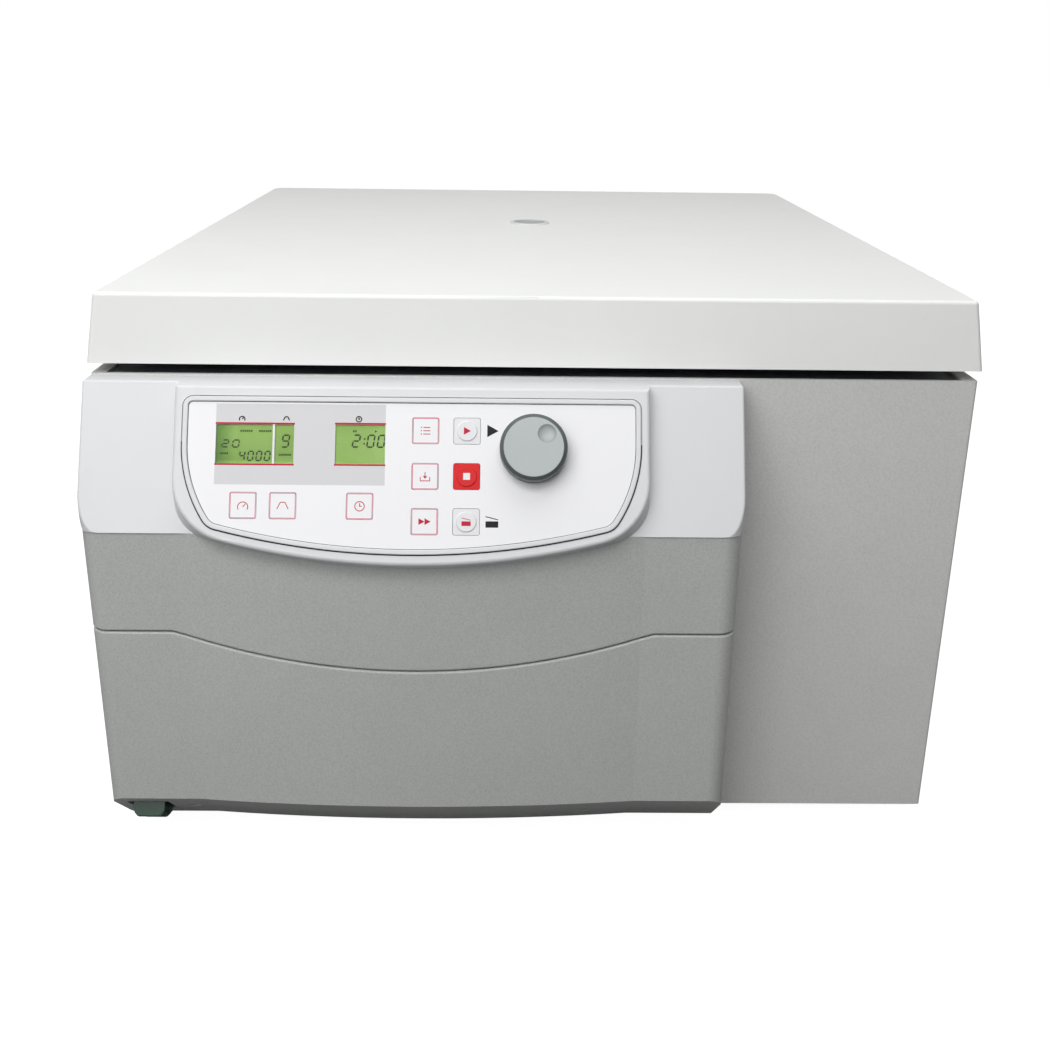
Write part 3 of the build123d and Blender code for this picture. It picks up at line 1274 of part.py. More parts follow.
def mains_inlet():
    """Appliance inlet with its socket over a fuse drawer."""
    rim_y = (CASING_D, CASING_D + INLET_RIM_T)
    inner_x, inner_z = around(INLET_X, INLET_W / 2), around(INLET_Z, INLET_H / 2)
    body = block(inner_x, (CASING_D - INLET_DEPTH, CASING_D), inner_z)
    body += block(
        around(INLET_X, INLET_W / 2 + INLET_RIM), rim_y, around(INLET_Z, INLET_H / 2 + INLET_RIM)
    )
    z = INLET_Z + SOCKET_UP
    floor = rim_y[1] - SOCKET_DEPTH
    body -= block(around(INLET_X, SOCKET_W / 2), (floor, rim_y[1] + CUT), around(z, SOCKET_H / 2))
    for x, up in SOCKET_PINS:
        pin_y = (floor - CUT, CASING_D - INLET_RIM_T)
        body += block(around(INLET_X + x, SOCKET_PIN_W / 2), pin_y, around(z + up, SOCKET_PIN_H / 2))
    fuse_y = (rim_y[1] - FUSE_SINK, rim_y[1] + CUT)
    return body - block(around(INLET_X, FUSE_W / 2), fuse_y, around(INLET_Z - FUSE_DOWN, FUSE_H / 2))


# ---------------------------------------------------------------- drive board
def power_board():
    """Drive board with its heat sink and capacitors, standing on the base."""
    back = BOARD_Y + BOARD_T
    low = BASE_T + BOARD_LIFT
    board = block((BOARD_X, BOARD_X + BOARD_W), (BOARD_Y, back), (low, low + BOARD_H))
    for x in (BOARD_X + FOOT_TAB, BOARD_X + BOARD_W - FOOT_TAB):
        width = around(x, FOOT_TAB)
        board += block(width, (BOARD_Y - BOARD_T, BOARD_Y), (BASE_T, BASE_T + FOOT_TAB_L))
        board += block(width, (BOARD_Y - BOARD_T, BOARD_Y + FOOT_TAB_L), (BASE_T, BASE_T + BOARD_T))
    sink_x, sink_z = BOARD_X + SINK_X, (BASE_T + SINK_Z, BASE_T + SINK_Z + SINK_H)
    sink_back = back + SINK_BASE
    board += block((sink_x, sink_x + SINK_W), (back, sink_back), sink_z)
    pitch = (SINK_W - SINK_FIN_T) / (SINK_FINS - 1)
    for fin in range(SINK_FINS):
        fin_x = sink_x + fin * pitch
        board += block((fin_x, fin_x + SINK_FIN_T), (sink_back, sink_back + SINK_FIN_L), sink_z)
    for up in CAN_Z:
        board += cylinder(CAN_R, (BOARD_X + CAN_X, back, BASE_T + up), BACKWARD, CAN_L)
    return board


# ---------------------------------------------------------------- write the nodes
SINGLE_NODES = [
    base_plate, casing_shell, rear_panel, deck_plate, guard_ring, chamber_bowl, chamber_gasket,
    motor_boot, motor_mount_plate, motor_housing, drive_shaft, rotor_yoke, rotor_nut,
    front_lower_cover, front_upper_cover, console_housing, console_trim, membrane_panel,
    control_board, encoder_body, control_knob, mains_switch, mains_rocker, lid_shell,
    lid_inner_pan, window_tube, window_lens, lock_shaft, lock_motor, fan_frame, fan_rotor,
    mains_inlet, power_board,
]
GROUP_NODES = [feet, motor_dampers, display_lenses, display_modules, cover_screws]
PAIR_NODES = {
    "lid_strikers": lid_striker,
    "lock_brackets": lock_bracket,
    "hinge_fixed_leaves": hinge_fixed_leaf,
    "hinge_moving_leaves": hinge_moving_leaf,
    "strut_lower_pins": strut_lower_pin,
    "strut_upper_brackets": strut_upper_bracket,
}
SIDE_NODES = {"bucket": bucket, "strut_cylinder": strut_cylinder, "strut_rod": strut_rod}

for build in SINGLE_NODES:
    save(build.__name__, build())
for build in GROUP_NODES:
    save(build.__name__, *build())
for node, build in PAIR_NODES.items():
    save(node, *both_sides(build))
for node, build in SIDE_NODES.items():
    save(f"{node}_left", build(-1))
    save(f"{node}_right", build(1))
for node in KEYS:
    save(node, key(node))
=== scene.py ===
import math

import bmesh
import bpy
from mathutils import Matrix, Vector


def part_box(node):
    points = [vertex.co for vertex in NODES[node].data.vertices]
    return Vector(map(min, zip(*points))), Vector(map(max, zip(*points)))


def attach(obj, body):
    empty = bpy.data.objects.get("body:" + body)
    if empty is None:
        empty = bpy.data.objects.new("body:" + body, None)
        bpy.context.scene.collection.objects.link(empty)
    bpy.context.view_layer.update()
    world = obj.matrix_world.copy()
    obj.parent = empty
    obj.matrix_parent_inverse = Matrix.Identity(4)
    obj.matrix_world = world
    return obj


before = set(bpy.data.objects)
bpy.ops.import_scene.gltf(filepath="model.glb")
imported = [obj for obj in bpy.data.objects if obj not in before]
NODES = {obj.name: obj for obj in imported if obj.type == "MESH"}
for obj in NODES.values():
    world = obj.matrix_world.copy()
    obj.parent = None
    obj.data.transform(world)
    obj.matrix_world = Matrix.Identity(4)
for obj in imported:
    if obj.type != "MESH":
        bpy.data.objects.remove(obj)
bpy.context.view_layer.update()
MM = 0.001

# ---------------------------------------------------------------- places
CASING_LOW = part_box("casing_shell")[0]
FACE_TILT = math.radians(27.0)
FACE_X, FACE_AHEAD, FACE_HEIGHT = -73.3, 25.2, 299.0
FACE_ORIGIN = Vector((FACE_X * MM, CASING_LOW.y - FACE_AHEAD * MM, CASING_LOW.z + FACE_HEIGHT * MM))
FACE_ACROSS = Vector((1.0, 0.0, 0.0))
FACE_DOWN = Vector((0.0, -math.sin(FACE_TILT), -math.cos(FACE_TILT)))
FACE_OUT = Vector((0.0, -math.cos(FACE_TILT), math.sin(FACE_TILT)))
KEY = 15.4
KEYS = {
    "key_program": (7.8, 25.5),
    "key_store": (7.8, 52.6),
    "key_quick": (7.8, 79.2),
    "key_start": (32.1, 25.5),
    "key_stop": (32.1, 52.5),
    "key_lid": (32.1, 79.2),
    "key_speed": (-97.8, 70.5),
    "key_ramp": (-74.7, 70.5),
    "key_time": (-30.0, 70.5),
}
DISPLAYS = {
    "left": (-91.95, 34.15, 45.5, 23.2),
    "right": (-30.45, 33.95, 29.1, 23.4),
}
KNOB_ACROSS, KNOB_DOWN, KNOB_FACE = 71.1, 36.5, 17.5
KNOB_AXIS = FACE_ORIGIN + (FACE_ACROSS * KNOB_ACROSS + FACE_DOWN * KNOB_DOWN) * MM
CASING_ORIGIN = Vector((0.0, CASING_LOW.y, CASING_LOW.z))


def spot(x, y, z):
    """A point from the casing's own millimetres to the frame."""
    return CASING_ORIGIN + Vector((x, y, z)) * MM


# ---------------------------------------------------------------- camera
CAMERA_PLACE = (-0.01752, -1.04267, 0.49612)
CAMERA_TURN = (0.88, 20.38, 0.76)
FOCAL_PIXELS = 1267.53
FRAME_PIXELS = 1050.0
SENSOR = 36.0


def aim_camera():
    """A view from in front and a little above, turned by its yaw, pitch and roll."""
    yaw, pitch, roll = (math.radians(angle) for angle in CAMERA_TURN)
    ahead = Vector((math.sin(yaw) * math.cos(pitch), math.cos(yaw) * math.cos(pitch), -math.sin(pitch)))
    level = ahead.cross(Vector((0.0, 0.0, 1.0))).normalized()
    above = level.cross(ahead)
    right = math.cos(roll) * level + math.sin(roll) * above
    up = -math.sin(roll) * level + math.cos(roll) * above
    data = bpy.data.cameras.new("camera")
    data.sensor_fit = "HORIZONTAL"
    data.sensor_width = SENSOR
    data.lens = SENSOR * FOCAL_PIXELS / FRAME_PIXELS
    data.clip_end = 50.0
    camera = bpy.data.objects.new("camera", data)
    turned = Matrix((right, up, -ahead)).transposed().to_4x4()
    camera.matrix_world = Matrix.Translation(CAMERA_PLACE) @ turned
    bpy.context.scene.collection.objects.link(camera)
    bpy.context.scene.camera = camera


aim_camera()
bpy.context.scene.view_settings.view_transform = "Standard"


# ---------------------------------------------------------------- shader graphs
class Graph:
    """Adds nodes to a tree, with sockets or values as their inputs."""

    def __init__(self, tree):
        self.tree = tree
        self.tree.nodes.clear()

    def add(self, kind, inputs=None, **settings):
        """A new node, with its settings made before its inputs are fed."""
        node = self.tree.nodes.new(kind)
        for name, value in settings.items():
            setattr(node, name, value)
        for name, value in (inputs or {}).items():
            self.feed(node.inputs[name], value)
        return node

    def feed(self, socket, value):
        """Links a socket to another, or sets its value."""
        if isinstance(value, bpy.types.NodeSocket):
            self.tree.links.new(value, socket)
        else:
            socket.default_value = value

    def math(self, operation, a, b=0.0, clamp=False):
        """A sum, product or the like of two values."""
        node = self.add("ShaderNodeMath", {0: a, 1: b}, operation=operation, use_clamp=clamp)
        return node.outputs[0]

    def blend(self, factor, a, b):
        """A mix of two colours."""
        node = self.add("ShaderNodeMix", data_type="RGBA")
        for socket, value in ((node.inputs[0], factor), (node.inputs[6], a), (node.inputs[7], b)):
            self.feed(socket, value)
        return node.outputs[2]

    def noise(self, vector, scale, detail=2.0, rough=0.5):
        """Smooth noise over a place, from 0 to 1."""
        node = self.add("ShaderNodeTexNoise", {
            "Vector": vector, "Scale": scale, "Detail": detail, "Roughness": rough,
        })
        return node.outputs["Fac"]

    def remap(self, value, low, high, to_low=0.0, to_high=1.0):
        """A value moved from one range to another, and kept in it."""
        node = self.add("ShaderNodeMapRange", {
            "Value": value, "From Min": low, "From Max": high, "To Min": to_low, "To Max": to_high,
        })
        return node.outputs[0]


def new_group(name, inputs, outputs):
    """An empty shader group with named sockets, as (group, graph, inputs, output node)."""
    group = bpy.data.node_groups.new(name, "ShaderNodeTree")
    for label, kind, value in inputs:
        socket = group.interface.new_socket(name=label, in_out="INPUT", socket_type=kind)
        if value is not None:
            socket.default_value = value
    for label, kind in outputs:
        group.interface.new_socket(name=label, in_out="OUTPUT", socket_type=kind)
    graph = Graph(group)
    entry = graph.add("NodeGroupInput")
    leave = graph.add("NodeGroupOutput")
    return group, graph, entry.outputs, leave


FLOAT, COLOR, VECTOR = "NodeSocketFloat", "NodeSocketColor", "NodeSocketVector"


def grain_group():
    """Fine relief of a paint or a mould, with a slow drift of its tone."""
    group, graph, given, leave = new_group(
        "fine_relief",
        [
            ("Place", VECTOR, None), ("Size", FLOAT, 0.8), ("Drift", FLOAT, 60.0), ("Pits", FLOAT, 0.4),
            ("Grain", FLOAT, 0.25),
        ],
        [("Height", FLOAT), ("Tone", FLOAT)],
    )
    scale = graph.math("DIVIDE", 1000.0, given["Size"])
    bumps = graph.noise(given["Place"], scale, 3.0, 0.55)
    cells = graph.add("ShaderNodeTexVoronoi", {"Vector": given["Place"], "Scale": scale}, feature="SMOOTH_F1")
    pits = graph.remap(cells.outputs["Distance"], 0.0, 0.7)
    height = graph.add("ShaderNodeMix", {0: given["Pits"], 2: bumps, 3: pits}, data_type="FLOAT")
    slow = graph.noise(given["Place"], graph.math("DIVIDE", 1000.0, given["Drift"]), 4.0, 0.6)
    graph.feed(leave.inputs["Height"], height.outputs[0])
    tone = graph.add("ShaderNodeMix", {
        0: given["Grain"], 2: graph.remap(slow, 0.3, 0.7), 3: graph.remap(height.outputs[0], 0.35, 0.65),
    }, data_type="FLOAT")
    graph.feed(leave.inputs["Tone"], tone.outputs[0])
    return group


def handling_group():
    """Smudges and rubbed patches that change how a surface shines."""
    group, graph, given, leave = new_group(
        "handling",
        [("Place", VECTOR, None), ("Size", FLOAT, 45.0), ("Amount", FLOAT, 0.08), ("Base", FLOAT, 0.45)],
        [("Roughness", FLOAT)],
    )
    scale = graph.math("DIVIDE", 1000.0, given["Size"])
    wide = graph.noise(given["Place"], scale, 3.0, 0.65)
    fine = graph.noise(given["Place"], graph.math("MULTIPLY", scale, 6.0), 2.0, 0.5)
    patches = graph.remap(graph.math("MULTIPLY", wide, fine), 0.18, 0.36)
    change = graph.math("MULTIPLY", graph.math("SUBTRACT", patches, 0.5), given["Amount"])
    graph.feed(leave.inputs["Roughness"], graph.math("ADD", given["Base"], change, clamp=True))
    return group


def brushed_group():
    """Long fine scratches, drawn out along X of the place that it is given."""
    group, graph, given, leave = new_group(
        "brushed",
        [("Place", VECTOR, None), ("Length", FLOAT, 40.0), ("Width", FLOAT, 0.25)],
        [("Height", FLOAT), ("Tone", FLOAT)],
    )
    across = graph.math("DIVIDE", 1000.0, given["Width"])
    along = graph.math("DIVIDE", 1000.0, given["Length"])
    size = graph.add("ShaderNodeCombineXYZ", {0: along, 1: across, 2: across})
    stretched = graph.add("ShaderNodeVectorMath", {0: given["Place"], 1: size.outputs[0]}, operation="MULTIPLY")
    lines = graph.noise(stretched.outputs[0], 1.0, 3.0, 0.6)
    graph.feed(leave.inputs["Height"], lines)
    graph.feed(leave.inputs["Tone"], graph.remap(lines, 0.3, 0.7))
    return group


def dust_group():
    """Faint dust that lies on what faces up."""
    group, graph, given, leave = new_group(
        "dust",
        [
            ("Place", VECTOR, None), ("Facing", VECTOR, None), ("Color", COLOR, (0.5, 0.5, 0.5, 1.0)),
            ("Amount", FLOAT, 0.1),
        ],
        [("Color", COLOR)],
    )
    facing = graph.add("ShaderNodeSeparateXYZ", {0: given["Facing"]})
    level = graph.remap(facing.outputs["Z"], 0.3, 1.0)
    specks = graph.remap(graph.noise(given["Place"], 260.0, 4.0, 0.7), 0.42, 0.7)
    cover = graph.math("MULTIPLY", graph.math("MULTIPLY", level, specks), given["Amount"], clamp=True)
    graph.feed(leave.inputs["Color"], graph.blend(cover, given["Color"], (0.62, 0.6, 0.57, 1.0)))
    return group


RELIEF = grain_group()
HANDLING = handling_group()
BRUSHED = brushed_group()
DUST = dust_group()


def rgb(code):
    """A colour as sRGB hex, turned linear."""
    parts = [int(code[i:i + 2], 16) / 255.0 for i in (0, 2, 4)]
    return tuple(c / 12.92 if c <= 0.04045 else ((c + 0.055) / 1.055) ** 2.4 for c in parts) + (1.0,)


def shade(color, factor):
    """A colour made darker or lighter."""
    return tuple(min(1.0, c * factor) for c in color[:3]) + (color[3],)


def finish(name, color, rough=0.45, size=0.8, depth=0.02, pits=0.3, drift=60.0, mottle=0.04,
           smudge=0.08, metal=0.0, coat=0.0, dust=0.0, brush=None, side=None, gloss=0.5, grain=0.25):
    """A finish with fine relief, drifting tone, handling marks and dust.

    Sizes are in millimetres. Side, where given, is painted shade: a darker colour outside the knob's face
    and on what slopes away from it, standing in for the shade on the knob's sides.
    """
    material = bpy.data.materials.new(name)
    material.use_nodes = True
    graph = Graph(material.node_tree)
    place = graph.add("ShaderNodeTexCoord")
    here = place.outputs["Object"]

    def group(tree, **inputs):
        """A shader group's outputs, once its inputs are fed."""
        node = graph.add("ShaderNodeGroup", node_tree=tree)
        for label, value in inputs.items():
            graph.feed(node.inputs[label], value)
        return node.outputs

    relief = group(RELIEF, Place=here, Size=size, Drift=drift, Pits=pits, Grain=grain)
    marks = group(HANDLING, Place=here, Amount=smudge, Base=rough)
    tone = graph.blend(relief["Tone"], shade(color, 1.0 - mottle), shade(color, 1.0 + mottle))
    height = relief["Height"]
    if brush:
        lines = group(BRUSHED, Place=here, Length=brush[0], Width=brush[1])
        tone = graph.blend(lines["Tone"], shade(color, 0.93), tone)
        height = lines["Height"]
    # Painted shade: the knob's sides and bevel get a darker colour than its face, standing in for the shade on them.
    if side:
        facing = graph.add("ShaderNodeVectorMath", {0: place.outputs["Normal"], 1: FACE_OUT}, operation="DOT_PRODUCT")
        arm = graph.add("ShaderNodeVectorMath", {0: here, 1: KNOB_AXIS}, operation="SUBTRACT").outputs["Vector"]
        across = graph.add("ShaderNodeVectorMath", {0: arm, 1: FACE_OUT}, operation="CROSS_PRODUCT").outputs["Vector"]
        reach = graph.add("ShaderNodeVectorMath", {0: across}, operation="LENGTH").outputs["Value"]
        top = graph.math("MULTIPLY", graph.remap(facing.outputs["Value"], 0.75, 0.97),
                         graph.remap(reach, KNOB_FACE * MM, (KNOB_FACE + 0.4) * MM, 1.0, 0.0))
        tone = graph.blend(top, side, tone)
    if dust:
        dusty = group(DUST, Place=here, Facing=place.outputs["Normal"], Color=tone, Amount=dust)
        tone = dusty["Color"]
    bump = graph.add("ShaderNodeBump", {"Strength": 1.0, "Distance": depth * MM, "Height": height})
    surface = graph.add("ShaderNodeBsdfPrincipled", {
        "Base Color": tone, "Roughness": marks["Roughness"], "Normal": bump.outputs[0],
        "Metallic": metal, "Coat Weight": coat, "Coat Roughness": 0.12, "Specular IOR Level": gloss,
    })
    graph.add("ShaderNodeOutputMaterial", {0: surface.outputs[0]})
    return material


FINISH = {
    "lid_paint": finish("lid_paint", rgb("e7e8e6"), 0.45, size=1.1, depth=0.03, pits=0.35, mottle=0.012, dust=0.03,
                        gloss=0.25),
    "sheet_paint": finish("sheet_paint", rgb("cdcecc"), 0.5, size=1.4, depth=0.18, pits=0.6, mottle=0.06, grain=0.7),
    "deck_paint": finish("deck_paint", rgb("54565c"), 0.42, size=0.7, depth=0.02, gloss=0.3),
    "zinc": finish("zinc", rgb("a9abad"), 0.38, size=3.0, depth=0.004, mottle=0.08, metal=1.0),
    "armour": finish("armour", rgb("6c6e70"), 0.5, size=2.0, depth=0.02, mottle=0.12, metal=1.0),
    "stainless": finish("stainless", rgb("c8cacb"), 0.34, depth=0.0012, metal=1.0, smudge=0.03, brush=(60.0, 0.6)),
    "bright_steel": finish("bright_steel", rgb("cfd0d2"), 0.2, depth=0.002, metal=1.0, brush=(15.0, 0.12)),
    "light_mould": finish("light_mould", rgb("cecfd1"), 0.47, size=0.5, depth=0.012, pits=0.5, mottle=0.01),
    "mid_mould": finish("mid_mould", rgb("b3b5b3"), 0.52, size=1.1, depth=0.12, pits=0.5, mottle=0.09, grain=0.8),
    "panel_film": finish("panel_film", rgb("e6e6e8"), 0.3, size=0.35, depth=0.003, mottle=0.004, smudge=0.05,
                         gloss=0.1),
    "film_grey": finish("film_grey", rgb("cbcbcd"), 0.32, size=0.35, depth=0.003, mottle=0.006, smudge=0.05,
                        gloss=0.1),
    "key_white": finish("key_white", rgb("e5e5e7"), 0.3, size=0.35, depth=0.003, mottle=0.004, gloss=0.1),
    "key_grey": finish("key_grey", rgb("dcdcde"), 0.3, size=0.35, depth=0.003, mottle=0.004, gloss=0.1),
    "key_red": finish("key_red", rgb("cf2427"), 0.3, size=0.35, depth=0.003, mottle=0.01, gloss=0.1),
    "ink_red": finish("ink_red", rgb("b81f3a"), 0.35, size=0.3, depth=0.001, mottle=0.02, gloss=0.1),
    "ink_pink": finish("ink_pink", rgb("d4607a"), 0.35, size=0.3, depth=0.001, mottle=0.02, gloss=0.1),
    "ink_black": finish("ink_black", rgb("1a1a20"), 0.35, size=0.3, depth=0.001, mottle=0.03, gloss=0.1),
    # Dark colour for the cords that paint the shadow lines around the console's panel and trim.
    "seal": finish("seal", rgb("2b2c2e"), 0.6, size=0.4, depth=0.002, mottle=0.03, gloss=0.3),
    "ink_white": finish("ink_white", rgb("e0e0e0"), 0.35, size=0.3, depth=0.001, mottle=0.01, gloss=0.1),
    # knob_face: its side colour is painted shade on the knob's sides.
    "knob_face": finish("knob_face", rgb("a6adac"), 0.38, size=0.4, depth=0.006, mottle=0.015, coat=0.1,
                        side=rgb("555b59"), gloss=0.3),
    "board_green": finish("board_green", rgb("1f5a36"), 0.35, size=1.0, depth=0.01, mottle=0.06, coat=0.3),
    "black_mould": finish("black_mould", rgb("1b1b1c"), 0.45, size=0.6, depth=0.015, pits=0.5, gloss=0.3),
    "rocker_green": finish("rocker_green", rgb("15412a"), 0.3, size=0.5, depth=0.004, mottle=0.06, coat=0.3,
                           gloss=0.1),
    "rubber": finish("rubber", rgb("1d1d1e"), 0.75, size=0.9, depth=0.012, mottle=0.04, dust=0.06),
    "aluminium": finish("aluminium", rgb("c2c4c6"), 0.33, depth=0.004, metal=1.0, brush=(20.0, 0.2)),
    "lcd_ink": finish("lcd_ink", rgb("2a3a20"), 0.4, size=0.3, depth=0.001, mottle=0.05, gloss=0.1),
}


def display_glass():
    """Backlit green glass, with painted shade darkening the left end of the left pane next to its rim."""
    material = bpy.data.materials.new("display_glass")
    material.use_nodes = True
    graph = Graph(material.node_tree)
    here = graph.add("ShaderNodeTexCoord").outputs["Object"]
    drift = graph.noise(here, 28.0, 3.0, 0.6)
    x = graph.add("ShaderNodeSeparateXYZ", {0: here}).outputs["X"]
    middle, width = DISPLAYS["left"][0], DISPLAYS["left"][2]
    left_end = (FACE_X + middle - width / 2) * MM
    # Painted shade: the left pane darkens over its first 11 mm from the left end, standing in for the rim's shade
    # there.
    painted_edge_shade = graph.remap(x, left_end, left_end + 11.0 * MM, 1.0, 0.0)
    glow = graph.blend(graph.remap(drift, 0.35, 0.65), rgb("86ac50"), rgb("99ba68"))
    glow = graph.blend(graph.math("MULTIPLY", painted_edge_shade, 0.85), glow, rgb("4f7a34"))
    surface = graph.add("ShaderNodeBsdfPrincipled", {
        "Base Color": glow, "Roughness": 0.35, "Emission Color": glow, "Emission Strength": 0.04,
        "Specular IOR Level": 0.1,
    })
    graph.add("ShaderNodeOutputMaterial", {0: surface.outputs[0]})
    return material


def clear_pane(name, alpha, color):
    """Pane that lets the light through straight."""
    material = bpy.data.materials.new(name)
    material.use_nodes = True
    graph = Graph(material.node_tree)
    here = graph.add("ShaderNodeTexCoord").outputs["Object"]
    smears = graph.remap(graph.noise(here, 40.0, 4.0, 0.7), 0.4, 0.7, 0.03, 0.1)
    surface = graph.add("ShaderNodeBsdfPrincipled", {
        "Base Color": color, "Roughness": smears, "Alpha": alpha, "Specular IOR Level": 0.25,
    })
    graph.add("ShaderNodeOutputMaterial", {0: surface.outputs[0]})
    return material


FINISH["display_glass"] = display_glass()
FINISH["clear_pane"] = clear_pane("clear_pane", 0.06, rgb("8a9488"))
FINISH["frosted_pane"] = clear_pane("frosted_pane", 0.6, rgb("d4d8d6"))

NODE_FINISH = {
    "lid_paint": ["lid_shell"],
    "sheet_paint": ["casing_shell", "rear_panel", "lid_inner_pan"],
    "deck_paint": ["deck_plate", "strut_cylinder_left", "strut_cylinder_right"],
    "zinc": ["base_plate", "motor_mount_plate", "cover_screws", "lock_brackets"],
    "armour": ["guard_ring"],
    "stainless": ["chamber_bowl"],
    "bright_steel": [
        "hinge_fixed_leaves", "hinge_moving_leaves", "strut_lower_pins", "strut_upper_brackets",
        "strut_rod_left", "strut_rod_right", "drive_shaft", "rotor_nut", "lock_shaft", "lid_strikers",
    ],
    "light_mould": ["console_housing", "console_trim", "window_tube"],
    "mid_mould": ["front_lower_cover", "front_upper_cover"],
    "panel_film": ["membrane_panel"],
    "key_white": ["key_program", "key_store", "key_quick", "key_speed", "key_ramp", "key_time"],
    "key_grey": ["key_start", "key_lid"],
    "key_red": ["key_stop"],
    "display_glass": ["display_modules"],
    "clear_pane": ["display_lenses"],
    "frosted_pane": ["window_lens"],
    "knob_face": ["control_knob"],
    "board_green": ["control_board", "power_board"],
    "black_mould": ["encoder_body", "mains_switch", "mains_inlet", "fan_frame", "fan_rotor", "lock_motor"],
    "rocker_green": ["mains_rocker"],
    "rubber": ["feet", "chamber_gasket", "motor_boot", "motor_dampers"],
    "aluminium": ["motor_housing", "rotor_yoke", "bucket_left", "bucket_right"],
}
for look, names in NODE_FINISH.items():
    for name in names:
        slots = NODES[name].material_slots
        if not slots:
            NODES[name].data.materials.append(FINISH[look])
        for entry in slots:
            entry.material = FINISH[look]


# ---------------------------------------------------------------- screws, bolts and rivets
def fastener_tree():
    """Turned heads with a cross or a hexagon in them, one on each point, along the point's own direction."""
    tree = bpy.data.node_groups.new("fasteners", "GeometryNodeTree")
    tree.interface.new_socket(name="Points", in_out="INPUT", socket_type="NodeSocketGeometry")
    for label, kind, value in (
        ("Radius", FLOAT, 3.0 * MM), ("Height", FLOAT, 1.8 * MM), ("Top", FLOAT, 0.8), ("Recess", FLOAT, 1.5 * MM),
        ("Hexagon", "NodeSocketBool", False), ("Seed", "NodeSocketInt", 1), ("Look", "NodeSocketMaterial", None),
    ):
        socket = tree.interface.new_socket(name=label, in_out="INPUT", socket_type=kind)
        if value is not None:
            socket.default_value = value
    tree.interface.new_socket(name="Fasteners", in_out="OUTPUT", socket_type="NodeSocketGeometry")
    graph = Graph(tree)
    given = graph.add("NodeGroupInput").outputs
    head = graph.add("GeometryNodeMeshCone", {
        "Vertices": 24, "Radius Top": graph.math("MULTIPLY", given["Radius"], given["Top"]),
        "Radius Bottom": given["Radius"], "Depth": given["Height"],
    }, fill_type="NGON")
    wide, narrow = graph.math("MULTIPLY", given["Recess"], 2.0), graph.math("MULTIPLY", given["Recess"], 0.5)
    bars = []
    for x, y, deep in ((wide, narrow, 1.0), (narrow, wide, 0.9)):
        size = graph.add("ShaderNodeCombineXYZ", {"X": x, "Y": y, "Z": graph.math("MULTIPLY", given["Height"], deep)})
        bars.append(graph.add("GeometryNodeMeshCube", {"Size": size.outputs[0]}).outputs["Mesh"])
    cross = graph.add("GeometryNodeMeshBoolean", operation="UNION")
    for arm in bars:
        tree.links.new(arm, cross.inputs["Mesh 2"])
    socket = graph.add("GeometryNodeMeshCylinder", {
        "Vertices": 6, "Radius": given["Recess"], "Depth": given["Height"],
    })
    tool = graph.add("GeometryNodeSwitch", {
        "Switch": given["Hexagon"], "False": cross.outputs["Mesh"], "True": socket.outputs["Mesh"],
    }, input_type="GEOMETRY")
    lift = graph.add("ShaderNodeCombineXYZ", {"Z": given["Height"]})
    raised = graph.add("GeometryNodeTransform", {"Geometry": tool.outputs[0], "Translation": lift.outputs[0]})
    cut = graph.add("GeometryNodeMeshBoolean", {"Mesh 1": head.outputs["Mesh"]}, operation="DIFFERENCE")
    tree.links.new(raised.outputs[0], cut.inputs["Mesh 2"])
    facing = graph.add("GeometryNodeInputNamedAttribute", {"Name": "facing"}, data_type="FLOAT_VECTOR")
    upright = graph.add("FunctionNodeAlignRotationToVector", {"Vector": facing.outputs[0]}, axis="Z")
    spin = graph.add("FunctionNodeRandomValue", {2: 0.0, 3: math.pi, "Seed": given["Seed"]}, data_type="FLOAT")
    turn = graph.add("FunctionNodeAxisAngleToRotation", {"Axis": (0.0, 0.0, 1.0), "Angle": spin.outputs[1]})
    turned = graph.add("FunctionNodeRotateRotation", {
        "Rotation": upright.outputs[0], "Rotate By": turn.outputs[0],
    }, rotation_space="LOCAL")
    spread = graph.add("GeometryNodeInstanceOnPoints", {
        "Points": given["Points"], "Instance": cut.outputs["Mesh"], "Rotation": turned.outputs[0],
    })
    real = graph.add("GeometryNodeRealizeInstances", {"Geometry": spread.outputs[0]})
    dressed = graph.add("GeometryNodeSetMaterial", {"Geometry": real.outputs[0], "Material": given["Look"]})
    graph.add("NodeGroupOutput", {"Fasteners": dressed.outputs[0]})
    return tree


def grown(name, mesh, tree, values, body):
    """The plain mesh that a tree makes from a mesh, riding on a body."""
    piece = bpy.data.objects.new(name, mesh)
    bpy.context.scene.collection.objects.link(piece)
    modifier = piece.modifiers.new("grow", "NODES")
    modifier.node_group = tree
    for item in tree.interface.items_tree:
        if item.item_type == "SOCKET" and item.in_out == "INPUT" and item.name in values:
            modifier[item.identifier] = values[item.name]
    bpy.context.view_layer.update()
    made = piece.evaluated_get(bpy.context.evaluated_depsgraph_get())
    plain = bpy.data.meshes.new_from_object(made)
    piece.modifiers.clear()
    piece.data = plain
    plain.name = name
    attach(piece, body)
    return piece


FASTENERS = fastener_tree()


